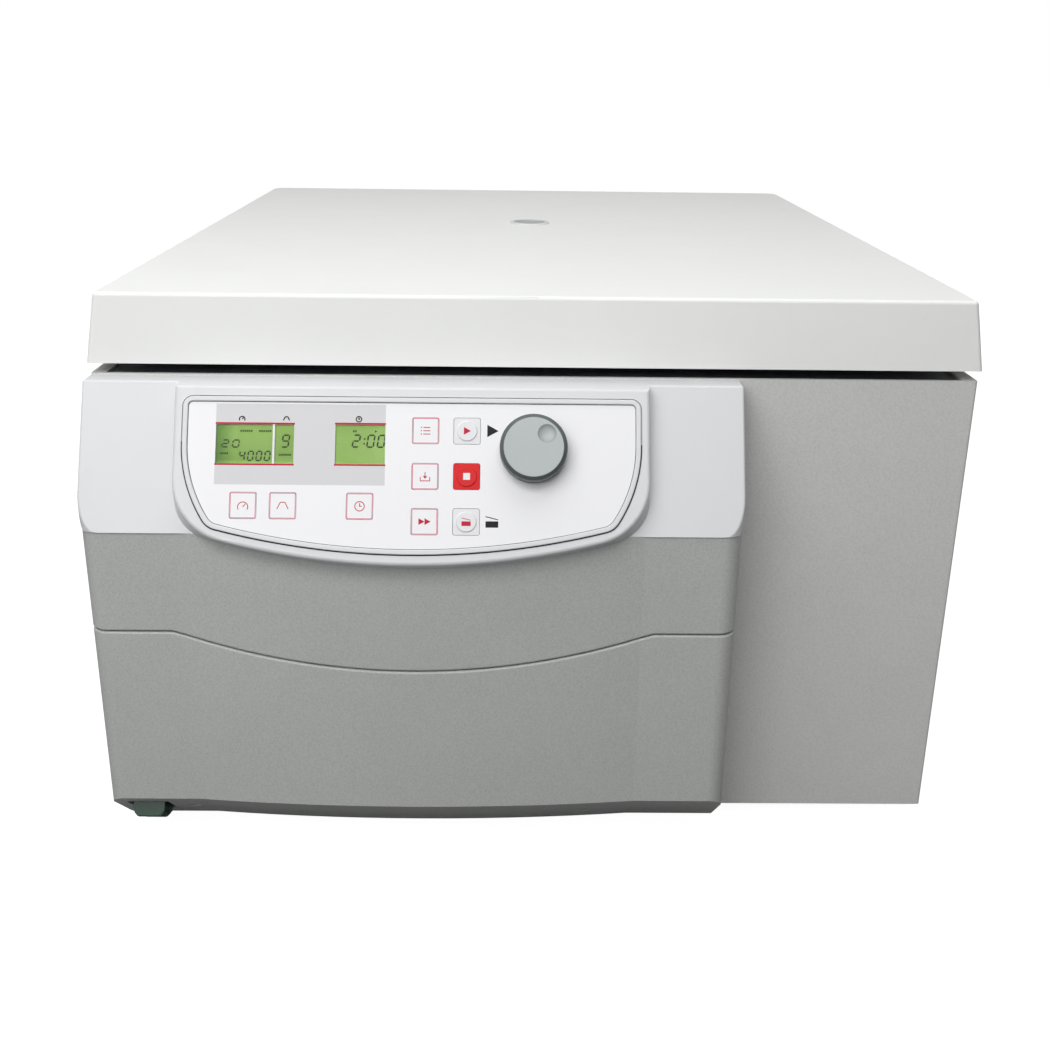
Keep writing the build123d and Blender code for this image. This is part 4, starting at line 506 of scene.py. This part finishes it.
def cord_tree():
    """A round cord along the edges that it is given."""
    tree = bpy.data.node_groups.new("cords", "GeometryNodeTree")
    tree.interface.new_socket(name="Path", in_out="INPUT", socket_type="NodeSocketGeometry")
    for label, kind, value in (
        ("Radius", FLOAT, 0.5 * MM), ("Sides", "NodeSocketInt", 8), ("Look", "NodeSocketMaterial", None),
    ):
        socket = tree.interface.new_socket(name=label, in_out="INPUT", socket_type=kind)
        if value is not None:
            socket.default_value = value
    tree.interface.new_socket(name="Cord", in_out="OUTPUT", socket_type="NodeSocketGeometry")
    graph = Graph(tree)
    given = graph.add("NodeGroupInput").outputs
    path = graph.add("GeometryNodeMeshToCurve", {"Mesh": given["Path"]})
    round_ = graph.add("GeometryNodeCurvePrimitiveCircle", {"Resolution": given["Sides"], "Radius": given["Radius"]})
    cord = graph.add("GeometryNodeCurveToMesh", {
        "Curve": path.outputs[0], "Profile Curve": round_.outputs[0], "Fill Caps": True,
    })
    real = graph.add("GeometryNodeRealizeInstances", {"Geometry": cord.outputs[0]})
    dressed = graph.add("GeometryNodeSetMaterial", {"Geometry": real.outputs[0], "Material": given["Look"]})
    graph.add("NodeGroupOutput", {"Cord": dressed.outputs[0]})
    return tree


CORDS = cord_tree()


def cord(name, points, edges, radius, look, slot, body, sides=8):
    """A cord along edges between points of the frame."""
    mesh = bpy.data.meshes.new(name + "_path")
    mesh.from_pydata(points, edges, [])
    return grown(name, mesh, CORDS, {"Radius": radius * MM, "Sides": sides, "Look": FINISH[look]}, body)


def ring_path(radius, height, count=96):
    """A circle around the rotor's axis, as (points, edges)."""
    turns = [2 * math.pi * step / count for step in range(count)]
    points = [spot(radius * math.cos(t), ROTOR_Y + radius * math.sin(t), height) for t in turns]
    return points, [(i, (i + 1) % count) for i in range(count)]


def face_rim(node, level, grow=0.0, lowest=-1.0):
    """The widest rim of a node at a height over the console's face, as (points, edges).

    It is moved out by grow, and edges that lie less far down the face than lowest are left out.
    """
    build = bmesh.new()
    build.from_mesh(NODES[node].data)
    bmesh.ops.remove_doubles(build, verts=build.verts, dist=2e-6)
    build.normal_update()

    def height(vert):
        """How far a vertex stands out of the face."""
        return (vert.co - FACE_ORIGIN).dot(FACE_OUT) / MM

    near = {v for v in build.verts if abs(height(v) - level) < 0.03}
    rims = [e for e in build.edges if e.verts[0] in near and e.verts[1] in near
            and any(abs(f.normal.dot(FACE_OUT)) < 0.5 for f in e.link_faces)]
    links = {}
    for edge in rims:
        a, b = edge.verts
        links.setdefault(a, []).append(b)
        links.setdefault(b, []).append(a)
    loops, seen = [], set()
    for start in links:
        if start in seen:
            continue
        loop, here = [start], start
        seen.add(start)
        while True:
            ahead = [v for v in links[here] if v not in seen]
            if not ahead:
                break
            here = ahead[0]
            seen.add(here)
            loop.append(here)
        loops.append(loop)
    widest = max(loops, key=lambda loop: max(v.co.x for v in loop) - min(v.co.x for v in loop))
    points = [v.co + FACE_OUT * grow * MM for v in widest]
    deep = [(point - FACE_ORIGIN).dot(FACE_DOWN) / MM > lowest for point in points]
    build.free()
    count = len(points)
    pairs = [(i, (i + 1) % count) for i in range(count)]
    return points, [(a, b) for a, b in pairs if deep[a] and deep[b]]


def fasten(name, body, look, direction, places, radius, height, recess, hexagon=False, top=0.8, seed=1):
    """Fastener heads at places in the casing's millimetres."""
    mesh = bpy.data.meshes.new(name + "_points")
    mesh.from_pydata([spot(*place) for place in places], [], [])
    facing = mesh.attributes.new("facing", "FLOAT_VECTOR", "POINT")
    facing.data.foreach_set("vector", list(direction) * len(places))
    values = {
        "Radius": radius * MM, "Height": height * MM, "Top": top, "Recess": recess * MM, "Hexagon": hexagon,
        "Seed": seed, "Look": FINISH[look],
    }
    return grown(name, mesh, FASTENERS, values, body)


UP, DOWN, BACK = (0.0, 0.0, 1.0), (0.0, 0.0, -1.0), (0.0, 1.0, 0.0)
SIDES = (-1, 1)
ROTOR_Y = 357.0
REAR_SEAT, LEAF_SEAT, DECK_SEAT, PAN_SEAT = 640.0, 642.0, 298.5, 308.0
FAN_MIDDLE, FAN_PITCH, HINGE_X = 150, 52.5, 180
rear = [(side * x, REAR_SEAT, z) for side in SIDES for x, z in (
    (258, 14), (258, 100), (258, 200), (86, 14), (86, 288), (228, 288),
)]
fasten("rear_screws", "unit", "zinc", BACK, rear, 3.4, 1.9, 1.6, seed=3)
fan = [(FAN_MIDDLE + x * FAN_PITCH, REAR_SEAT, FAN_MIDDLE + z * FAN_PITCH) for x in SIDES for z in SIDES]
fasten("fan_screws", "unit", "black_mould", BACK, fan, 3.6, 2.0, 1.7, seed=5)
leaf = [(side * HINGE_X + x, LEAF_SEAT, 274.0) for side in SIDES for x in (-20, 0, 20)]
fasten("hinge_screws", "unit", "bright_steel", BACK, leaf, 3.0, 1.5, 1.5, True, seed=7)
moving = [(side * HINGE_X + x, 616.0, 306.0) for side in SIDES for x in (-20, 0, 20)]
fasten("hinge_lid_screws", "lid", "bright_steel", DOWN, moving, 3.0, 1.5, 1.5, True, seed=9)
deck = [(side * x, y, DECK_SEAT) for side in SIDES for x, y in (
    (248, 70), (90, 70), (250, 170), (110, 616), (252, 470),
)]
fasten("deck_screws", "unit", "zinc", UP, deck, 3.4, 1.6, 1.6, seed=11)
pan = [(side * 248, y, PAN_SEAT) for side in SIDES for y in range(40, 530, 80)]
pan += [(x, 24.0, PAN_SEAT) for x in range(-200, 201, 80)]
fasten("pan_rivets", "lid", "zinc", DOWN, pan, 3.2, 0.9, 1.0, True, top=0.6, seed=13)
dampers = [(x, ROTOR_Y + y, 22.0) for x in (-68, 68) for y in (-68, 68)]
fasten("motor_bolts", "unit", "zinc", UP, dampers, 6.5, 5.0, 3.2, True, top=0.94, seed=15)
HUB_PITCH = 23.5
hub = [(x * HUB_PITCH, ROTOR_Y + y * HUB_PITCH, 258.0) for x, y in ((1, 0), (0, 1), (-1, 0), (0, -1))]
fasten("hub_bolts", "rotor", "bright_steel", UP, hub, 2.8, 2.2, 1.4, True, top=0.92, seed=17)
base = [(side * x, y, 0.0) for side in SIDES for x, y in ((256, 130), (256, 320), (256, 510), (90, 12), (90, 628))]
fasten("base_screws", "unit", "zinc", DOWN, base, 3.4, 1.6, 1.6, seed=19)

# ---------------------------------------------------------------- gasket lips, and dark cords that paint the shadow lines around the console's panel
for lip, radius in enumerate((204.0, 209.0)):
    cord(f"gasket_lip_{lip + 1}", *ring_path(radius, 307.2), 0.9, "rubber", "black_rubber", "unit", 10)
# Painted shadow: dark cords in the gap around the membrane panel and below the trim, the second only along the lower
# part, standing in for the shade in these gaps.
cord("panel_painted_shadow_line", *face_rim("membrane_panel", 0.0), 0.28, "seal", "black_rubber", "unit")
cord("trim_painted_shadow_line", *face_rim("console_trim", -1.6, 1.65, 30.0), 0.62, "seal", "black_rubber", "unit")


# ---------------------------------------------------------------- mains switch
BEVEL_RISE, BEVEL_DEPTH = 36.4, 42.0
ROCKER_X, ROCKER_Y, ROCKER_Z = -248.5, -33.5, 18.2
ROCKER_TIP = math.radians(7.0)
ROCKER_PIVOT = 4.0
ROCKER_HALF, ROCKER_REACH, ROCKER_EDGE = 9.7, 10.3, 9.5
ROCKER_ROOT, ROCKER_STEP, ROCKER_MIDDLE, ROCKER_END = 1.0, 4.6, 5.7, 7.8
ROCKER_TAPER = 0.9


def on_rocker(across, along, out):
    """A point on the tipped rocker, in millimetres along and out of the bevel, to the frame."""
    high = out + ROCKER_PIVOT
    along, out = (
        along * math.cos(ROCKER_TIP) - high * math.sin(ROCKER_TIP),
        along * math.sin(ROCKER_TIP) + high * math.cos(ROCKER_TIP) - ROCKER_PIVOT,
    )
    slope = math.hypot(BEVEL_RISE, BEVEL_DEPTH)
    y, z = -BEVEL_RISE / slope, -BEVEL_DEPTH / slope
    return spot(ROCKER_X + across, ROCKER_Y + z * along + y * out, ROCKER_Z - y * along + z * out)


def rocker_cap():
    """The rocker's two worn faces, narrower than its root, with softened edges."""
    shoulder = ROCKER_END - 0.6
    half = [
        (ROCKER_REACH, ROCKER_ROOT), (ROCKER_REACH, ROCKER_STEP), (ROCKER_REACH, shoulder), (ROCKER_EDGE, ROCKER_END),
    ]
    far = [(-along, out) for along, out in half]
    outline = [far[0], *half, (0.0, ROCKER_MIDDLE), *far[:0:-1]]
    build = bmesh.new()
    ends = []
    for side in (-1, 1):
        end = []
        for along, out in outline:
            across = ROCKER_HALF - ROCKER_TAPER * max(0.0, out - ROCKER_STEP)
            end.append(build.verts.new(on_rocker(side * across, along, out)))
        build.faces.new((end[0], end[1], end[2], end[8]))
        build.faces.new(end[2:])
        ends.append(end)
    for i in range(len(outline)):
        j = (i + 1) % len(outline)
        build.faces.new((ends[0][j], ends[0][i], ends[1][i], ends[1][j]))
    bmesh.ops.recalc_face_normals(build, faces=build.faces)
    bmesh.ops.bevel(build, geom=build.edges[:], offset=0.5 * MM, segments=2, affect="EDGES")
    mesh = bpy.data.meshes.new("rocker_cap")
    build.to_mesh(mesh)
    build.free()
    mesh.materials.append(FINISH["rocker_green"])
    piece = bpy.data.objects.new("rocker_cap", mesh)
    bpy.context.scene.collection.objects.link(piece)
    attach(piece, "rocker")


def on_rocker_face(x, y, out):
    """A point over the rocker's dished face."""
    dish = abs(y) / ROCKER_EDGE * (ROCKER_END - ROCKER_MIDDLE)
    return on_rocker(x, y, ROCKER_MIDDLE + dish + out)


rocker_cap()

# ---------------------------------------------------------------- prints on the console
def on_face(x, down, out=0.0):
    """A point on the console's face, from millimetres to the frame."""
    return FACE_ORIGIN + (FACE_ACROSS * x + FACE_DOWN * down + FACE_OUT * out) * MM


def rect(x0, y0, x1, y1):
    """A shape with one outline: a rectangle between two corners."""
    return [[(x0, y0), (x1, y0), (x1, y1), (x0, y1)]]


def bar(x, y, width, height):
    """A rectangle around its middle."""
    return rect(x - width / 2, y - height / 2, x + width / 2, y + height / 2)


def border(x, y, width, height, line):
    """Four strips around a rectangle, inside its edge."""
    w, h = width / 2, height / 2
    return (
        rect(x - w, y - h, x + w, y - h + line) + rect(x - w, y + h - line, x + w, y + h)
        + rect(x - w, y - h + line, x - w + line, y + h - line)
        + rect(x + w - line, y - h + line, x + w, y + h - line)
    )


def arc(x, y, radius, line, start=0.0, end=360.0, steps=24):
    """A band along a circle, as short pieces."""
    pieces = []
    for step in range(steps):
        a, b = (math.radians(start + (end - start) * (step + k) / steps) for k in (0, 1))
        ring = [(radius - line / 2, a), (radius + line / 2, a), (radius + line / 2, b), (radius - line / 2, b)]
        pieces.append([(x + r * math.cos(t), y + r * math.sin(t)) for r, t in ring])
    return pieces


def disc(x, y, radius, steps=20):
    """A filled circle."""
    turns = [2 * math.pi * step / steps for step in range(steps)]
    return [[(x + radius * math.cos(t), y + radius * math.sin(t)) for t in turns]]


def line(a, b, width):
    """A straight stroke between two points."""
    along = Vector((b[0] - a[0], b[1] - a[1])).normalized()
    side = Vector((-along.y, along.x)) * width / 2
    return [[(a[0] + side.x, a[1] + side.y), (b[0] + side.x, b[1] + side.y),
             (b[0] - side.x, b[1] - side.y), (a[0] - side.x, a[1] - side.y)]]


def strokes(points, width):
    """Straight strokes from point to point."""
    return [piece for a, b in zip(points, points[1:]) for piece in line(a, b, width)]


def printed(name, shapes, look, body, low=-0.02, high=0.04, place=on_face):
    """Thin closed prisms of ink, on the console's face unless another place is given."""
    mesh = bpy.data.meshes.new(name)
    build = bmesh.new()
    for shape in shapes:
        floor = [build.verts.new(place(x, y, low)) for x, y in shape]
        roof = [build.verts.new(place(x, y, high)) for x, y in shape]
        build.faces.new(floor)
        build.faces.new(roof[::-1])
        for i in range(len(shape)):
            j = (i + 1) % len(shape)
            build.faces.new((floor[j], floor[i], roof[i], roof[j]))
    bmesh.ops.recalc_face_normals(build, faces=build.faces)
    build.to_mesh(mesh)
    build.free()
    mesh.materials.append(FINISH[look])
    piece = bpy.data.objects.new(name, mesh)
    bpy.context.scene.collection.objects.link(piece)
    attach(piece, body)
    return piece


def around_holes(x0, y0, x1, y1, holes):
    """A rectangle cut into strips that leave its holes open."""
    xs = sorted({x0, x1, *[h[0] for h in holes], *[h[2] for h in holes]})
    ys = sorted({y0, y1, *[h[1] for h in holes], *[h[3] for h in holes]})
    pieces = []
    for left, right in zip(xs, xs[1:]):
        for top, bottom in zip(ys, ys[1:]):
            x, y = (left + right) / 2, (top + bottom) / 2
            if not any(h[0] < x < h[2] and h[1] < y < h[3] for h in holes):
                pieces += rect(left, top, right, bottom)
    return pieces


PANES = {
    side: (x - w / 2, y - h / 2, x + w / 2, y + h / 2) for side, (x, y, w, h) in DISPLAYS.items()
}
TINT = (-114.9, 10.3, -15.7, 58.2)
printed("panel_tint", around_holes(*TINT, PANES.values()), "film_grey", "unit", high=0.02)

RAIL = 1.1
rails = []
for left, top, right, bottom in PANES.values():
    rails += rect(left - 0.4, top - RAIL, right + 0.4, top - 0.05)
    rails += rect(left - 0.4, bottom + 0.05, right + 0.4, bottom + RAIL)
printed("panel_rails", rails, "ink_red", "unit")

# ---------------------------------------------------------------- symbols
def play_sign(x, y, size):
    """A triangle that points to the right."""
    return [[(x - size * 0.4, y - size / 2), (x + size * 0.5, y), (x - size * 0.4, y + size / 2)]]


def lid_sign(x, y, size):
    """A box with its lid up."""
    return (
        bar(x, y + size * 0.2, size, size * 0.5)
        + line((x - size * 0.5, y - size * 0.42), (x + size * 0.48, y - size * 0.18), size * 0.07)
    )


def gauge_sign(x, y, size, width):
    """A dial with its needle."""
    return arc(x, y + size * 0.15, size * 0.45, width, 150, 390, 14) + line(
        (x, y + size * 0.15), (x + size * 0.24, y - size * 0.14), width
    )


def ramp_sign(x, y, size, width):
    """Up, along and down again."""
    h, w = size * 0.3, size * 0.5
    return strokes([(x - w, y + h), (x - w * 0.4, y - h), (x + w * 0.4, y - h), (x + w, y + h)], width)


def clock_sign(x, y, size, width):
    """A round clock with two hands."""
    return (
        arc(x, y, size * 0.42, width, steps=20)
        + line((x, y + width / 2), (x, y - size * 0.27), width) + line((x, y), (x + size * 0.2, y), width)
    )


def list_sign(x, y, size, width):
    """Three lines, each with its dot."""
    pieces = []
    for row in (-0.3, 0.0, 0.3):
        pieces += disc(x - size * 0.38, y + size * row, width * 0.8, 8)
        pieces += bar(x + size * 0.1, y + size * row, size * 0.62, width)
    return pieces


def store_sign(x, y, size, width):
    """An arrow down into a tray."""
    tray = [(x - size * 0.42, y + size * 0.05), (x - size * 0.42, y + size * 0.4),
            (x + size * 0.42, y + size * 0.4), (x + size * 0.42, y + size * 0.05)]
    head = [(x - size * 0.2, y - size * 0.02), (x + size * 0.2, y - size * 0.02), (x, y + size * 0.22)]
    return strokes(tray, width) + bar(x, y - size * 0.2, width, size * 0.4) + [head]


def quick_sign(x, y, size):
    """Two triangles, for fast forward."""
    return play_sign(x - size * 0.28, y, size * 0.6) + play_sign(x + size * 0.26, y, size * 0.6)


SEGMENTS = {
    "0": "abcdef", "1": "bc", "2": "abdeg", "3": "abcdg", "4": "bcfg",
    "5": "acdfg", "6": "acdefg", "7": "abc", "8": "abcdefg", "9": "abcdfg",
}


def digit(sign, x, y, width, height, thick):
    """A seven-segment digit that leans a little to the right."""
    w, h, t, gap = width / 2, height / 2, thick / 2, thick * 0.18
    across = [(-w + t + gap, 0), (-w + 2 * t + gap, -t), (w - 2 * t - gap, -t), (w - t - gap, 0),
              (w - 2 * t - gap, t), (-w + 2 * t + gap, t)]
    upright = [(0, gap), (t, t + gap), (t, h - 2 * t - gap), (0, h - t - gap),
               (-t, h - 2 * t - gap), (-t, t + gap)]
    places = {
        "a": [(px, py - h + t) for px, py in across], "g": across,
        "d": [(px, py + h - t) for px, py in across],
        "b": [(px + w - t, -py) for px, py in upright],
        "c": [(px + w - t, py) for px, py in upright],
        "f": [(px - w + t, -py) for px, py in upright],
        "e": [(px - w + t, py) for px, py in upright],
    }
    return [[(x + px - 0.14 * py, y + py) for px, py in places[name]] for name in SEGMENTS[sign]]


def number(text, x, y, width, height, thick, pitch):
    """Digits from left to right; a colon takes half a place."""
    pieces = []
    for sign in text:
        if sign == ":":
            pieces += bar(x - pitch * 0.2, y - height * 0.16, thick, thick)
            pieces += bar(x - pitch * 0.24, y + height * 0.2, thick, thick)
            x += pitch * 0.4
        else:
            pieces += digit(sign, x, y, width, height, thick)
            x += pitch
    return pieces


def ticks(x, y, count):
    """A row of small marks, in place of a word."""
    return [piece for step in range(count) for piece in bar(x + step * 1.25, y, 0.85, 1.2)]


# ---------------------------------------------------------------- display contents
PANE_TOP = -0.9
left, top, right, bottom = PANES["left"]
lcd = number("4000", left + 15.4, bottom - 4.6, 3.7, 6.2, 0.85, 4.9)
lcd += number("20", left + 5.4, bottom - 11.8, 4.4, 5.0, 0.85, 6.2)
lcd += number("9", left + 40.6, top + 9.7, 4.7, 8.0, 0.95, 5.0)
lcd += ticks(left + 3.0, bottom - 6.0, 4) + ticks(left + 14.4, top + 3.8, 6)
lcd += ticks(left + 25.4, top + 3.8, 6) + ticks(left + 37.2, bottom - 5.4, 6)
left2, top2 = PANES["right"][:2]
lcd += number("2:00", left2 + 12.2, top2 + 9.6, 4.7, 8.0, 0.95, 6.1)
lcd += ticks(left2 + 10.6, top2 + 3.8, 2) + play_sign(left2 + 23.6, top2 + 3.8, 1.5)
printed("display_segments", lcd, "lcd_ink", "unit", PANE_TOP - 0.02, PANE_TOP + 0.05)
divider = left + 33.7
printed("display_divider", rect(divider - 0.6, top, divider + 0.6, bottom), "ink_white", "unit",
        PANE_TOP - 0.02, 0.02)

# ---------------------------------------------------------------- panel and key prints
LABEL_Y = 19.6
SIGN = 0.7
black = play_sign(46.9, 25.3, 7.4) + lid_sign(47.1, 79.1, 7.4)
black += gauge_sign(left + 15.0, LABEL_Y - 0.6, 3.6, SIGN) + ramp_sign(right - 4.6, LABEL_Y - 0.6, 3.6, SIGN)
black += clock_sign(left2 + 13.6, LABEL_Y - 0.6, 3.8, SIGN)
printed("panel_signs", black, "ink_black", "unit")

RED_SIGNS = {
    "key_program": list_sign, "key_store": store_sign, "key_speed": gauge_sign,
    "key_ramp": ramp_sign, "key_time": clock_sign,
}
KEY_LINE = 0.42
DOME = 0.7
PRINT_INSET = 0.2
for key, (x, down) in KEYS.items():
    body = key
    if key in ("key_start", "key_stop", "key_lid"):
        continue
    size = KEY - 2 * PRINT_INSET
    printed(key + "_edge", border(x, down, size, size, KEY_LINE), "ink_pink", body)
    shapes = quick_sign(x, down, 6.6) if key == "key_quick" else RED_SIGNS[key](x, down, 6.6, 0.5)
    printed(key + "_sign", shapes, "ink_red", body)
for key, shapes, look, slot in (
    ("key_start", play_sign(*KEYS["key_start"], 4.6), "ink_red", "key_red"),
    ("key_lid", lid_sign(*KEYS["key_lid"], 5.4), "ink_red", "key_red"),
    ("key_stop", bar(*KEYS["key_stop"], 4.0, 4.0), "ink_white", "panel_film"),
):
    printed(key + "_sign", shapes, look, key, DOME - 0.02, DOME + 0.04)

marks = rect(-0.45, 3.6, 0.45, 7.4) + arc(0.0, -5.4, 1.9, 0.8)
printed("rocker_marks", marks, "ink_white", "rocker", 0.0, 0.08, on_rocker_face)

BUCKET_X, BUCKET_FRONT, BUCKET_Z = 100.0, 290.32, 190.0
for sign, side, body in (("1", -1, "bucket_left"), ("2", 1, "bucket_right")):
    def on_bucket(x, y, out, side=side):
        """A point on the front of a bucket."""
        return spot(side * BUCKET_X + x, BUCKET_FRONT - out, BUCKET_Z - y)

    printed(body + "_number", digit(sign, 0.0, 0.0, 7.0, 12.0, 1.4), "ink_black", body,
            place=on_bucket)


# ---------------------------------------------------------------- floor and light
FLOOR_REACH = 6.0
FLOOR_GLOW = 0.96
SKY_LIGHT = 0.18
SKY_MIRRORED = 0.28


def floor_finish():
    """Plain pale floor that the camera sees nearly white, with the object's shadow on it."""
    material = bpy.data.materials.new("floor")
    material.use_nodes = True
    graph = Graph(material.node_tree)
    seen = graph.add("ShaderNodeLightPath").outputs["Is Camera Ray"]
    base = graph.add("ShaderNodeBsdfPrincipled", {
        "Base Color": (0.2, 0.2, 0.2, 1.0), "Roughness": 0.9,
        "Emission Color": (1.0, 1.0, 1.0, 1.0), "Emission Strength": graph.math("MULTIPLY", seen, FLOOR_GLOW),
    })
    graph.add("ShaderNodeOutputMaterial", {0: base.outputs[0]})
    return material


def lay_floor():
    """A wide floor."""
    mesh = bpy.data.meshes.new("floor")
    signs = ((-1, -1), (1, -1), (1, 1), (-1, 1))
    mesh.from_pydata([(x * FLOOR_REACH, y * FLOOR_REACH, 0.0) for x, y in signs], [], [(0, 1, 2, 3)])
    mesh.materials.append(floor_finish())
    floor = bpy.data.objects.new("floor", mesh)
    bpy.context.scene.collection.objects.link(floor)


def light_sky():
    """White to the camera and to reflections, softer as a light."""
    world = bpy.data.worlds.new("studio")
    bpy.context.scene.world = world
    world.use_nodes = True
    graph = Graph(world.node_tree)
    path = graph.add("ShaderNodeLightPath")
    seen = graph.math("MAXIMUM", path.outputs["Is Camera Ray"], path.outputs["Is Transmission Ray"])
    seen = graph.math("MAXIMUM", seen, graph.math("MULTIPLY", path.outputs["Is Glossy Ray"], SKY_MIRRORED))
    strength = graph.remap(seen, 0.0, 1.0, SKY_LIGHT, 1.0)
    sky = graph.add("ShaderNodeBackground", {"Color": (1.0, 1.0, 1.0, 1.0), "Strength": strength})
    graph.add("ShaderNodeOutputWorld", {0: sky.outputs[0]})


# Each lamp has its place, what it points at, its size, its power and whether surfaces mirror it.
LAMPS = {
    "overhead": ((0.0, -0.15, 1.75), (0.0, -0.12, 0.2), (1.8, 1.1), 14.0, True),
    "near_top": ((-0.35, -1.1, 1.3), (0.0, -0.25, 0.2), (1.5, 0.5), 11.0, True),
    "behind": ((0.6, 1.9, 0.45), (0.0, 0.35, 0.2), (1.8, 0.6), 10.0, False),
    "near_left": ((-1.1, -1.2, 0.75), (-0.1, -0.2, 0.15), (0.9, 0.6), 1.4, True),
    "near_front": ((-0.4, -1.5, 0.9), (-0.1, -0.2, 0.2), (1.0, 0.5), 5.2, True),
}


def softbox(name, place, target, size, power, mirrored):
    """A soft area lamp that the camera doesn't see."""
    data = bpy.data.lights.new(name, "AREA")
    data.shape = "RECTANGLE"
    data.size, data.size_y = size
    data.energy = power
    lamp = bpy.data.objects.new(name, data)
    lamp.location = place
    lamp.visible_camera = False
    lamp.visible_glossy = mirrored
    lamp.rotation_euler = (Vector(target) - Vector(place)).to_track_quat("-Z", "Y").to_euler()
    bpy.context.scene.collection.objects.link(lamp)


lay_floor()
light_sky()
for name, settings in LAMPS.items():
    softbox(name, *settings)
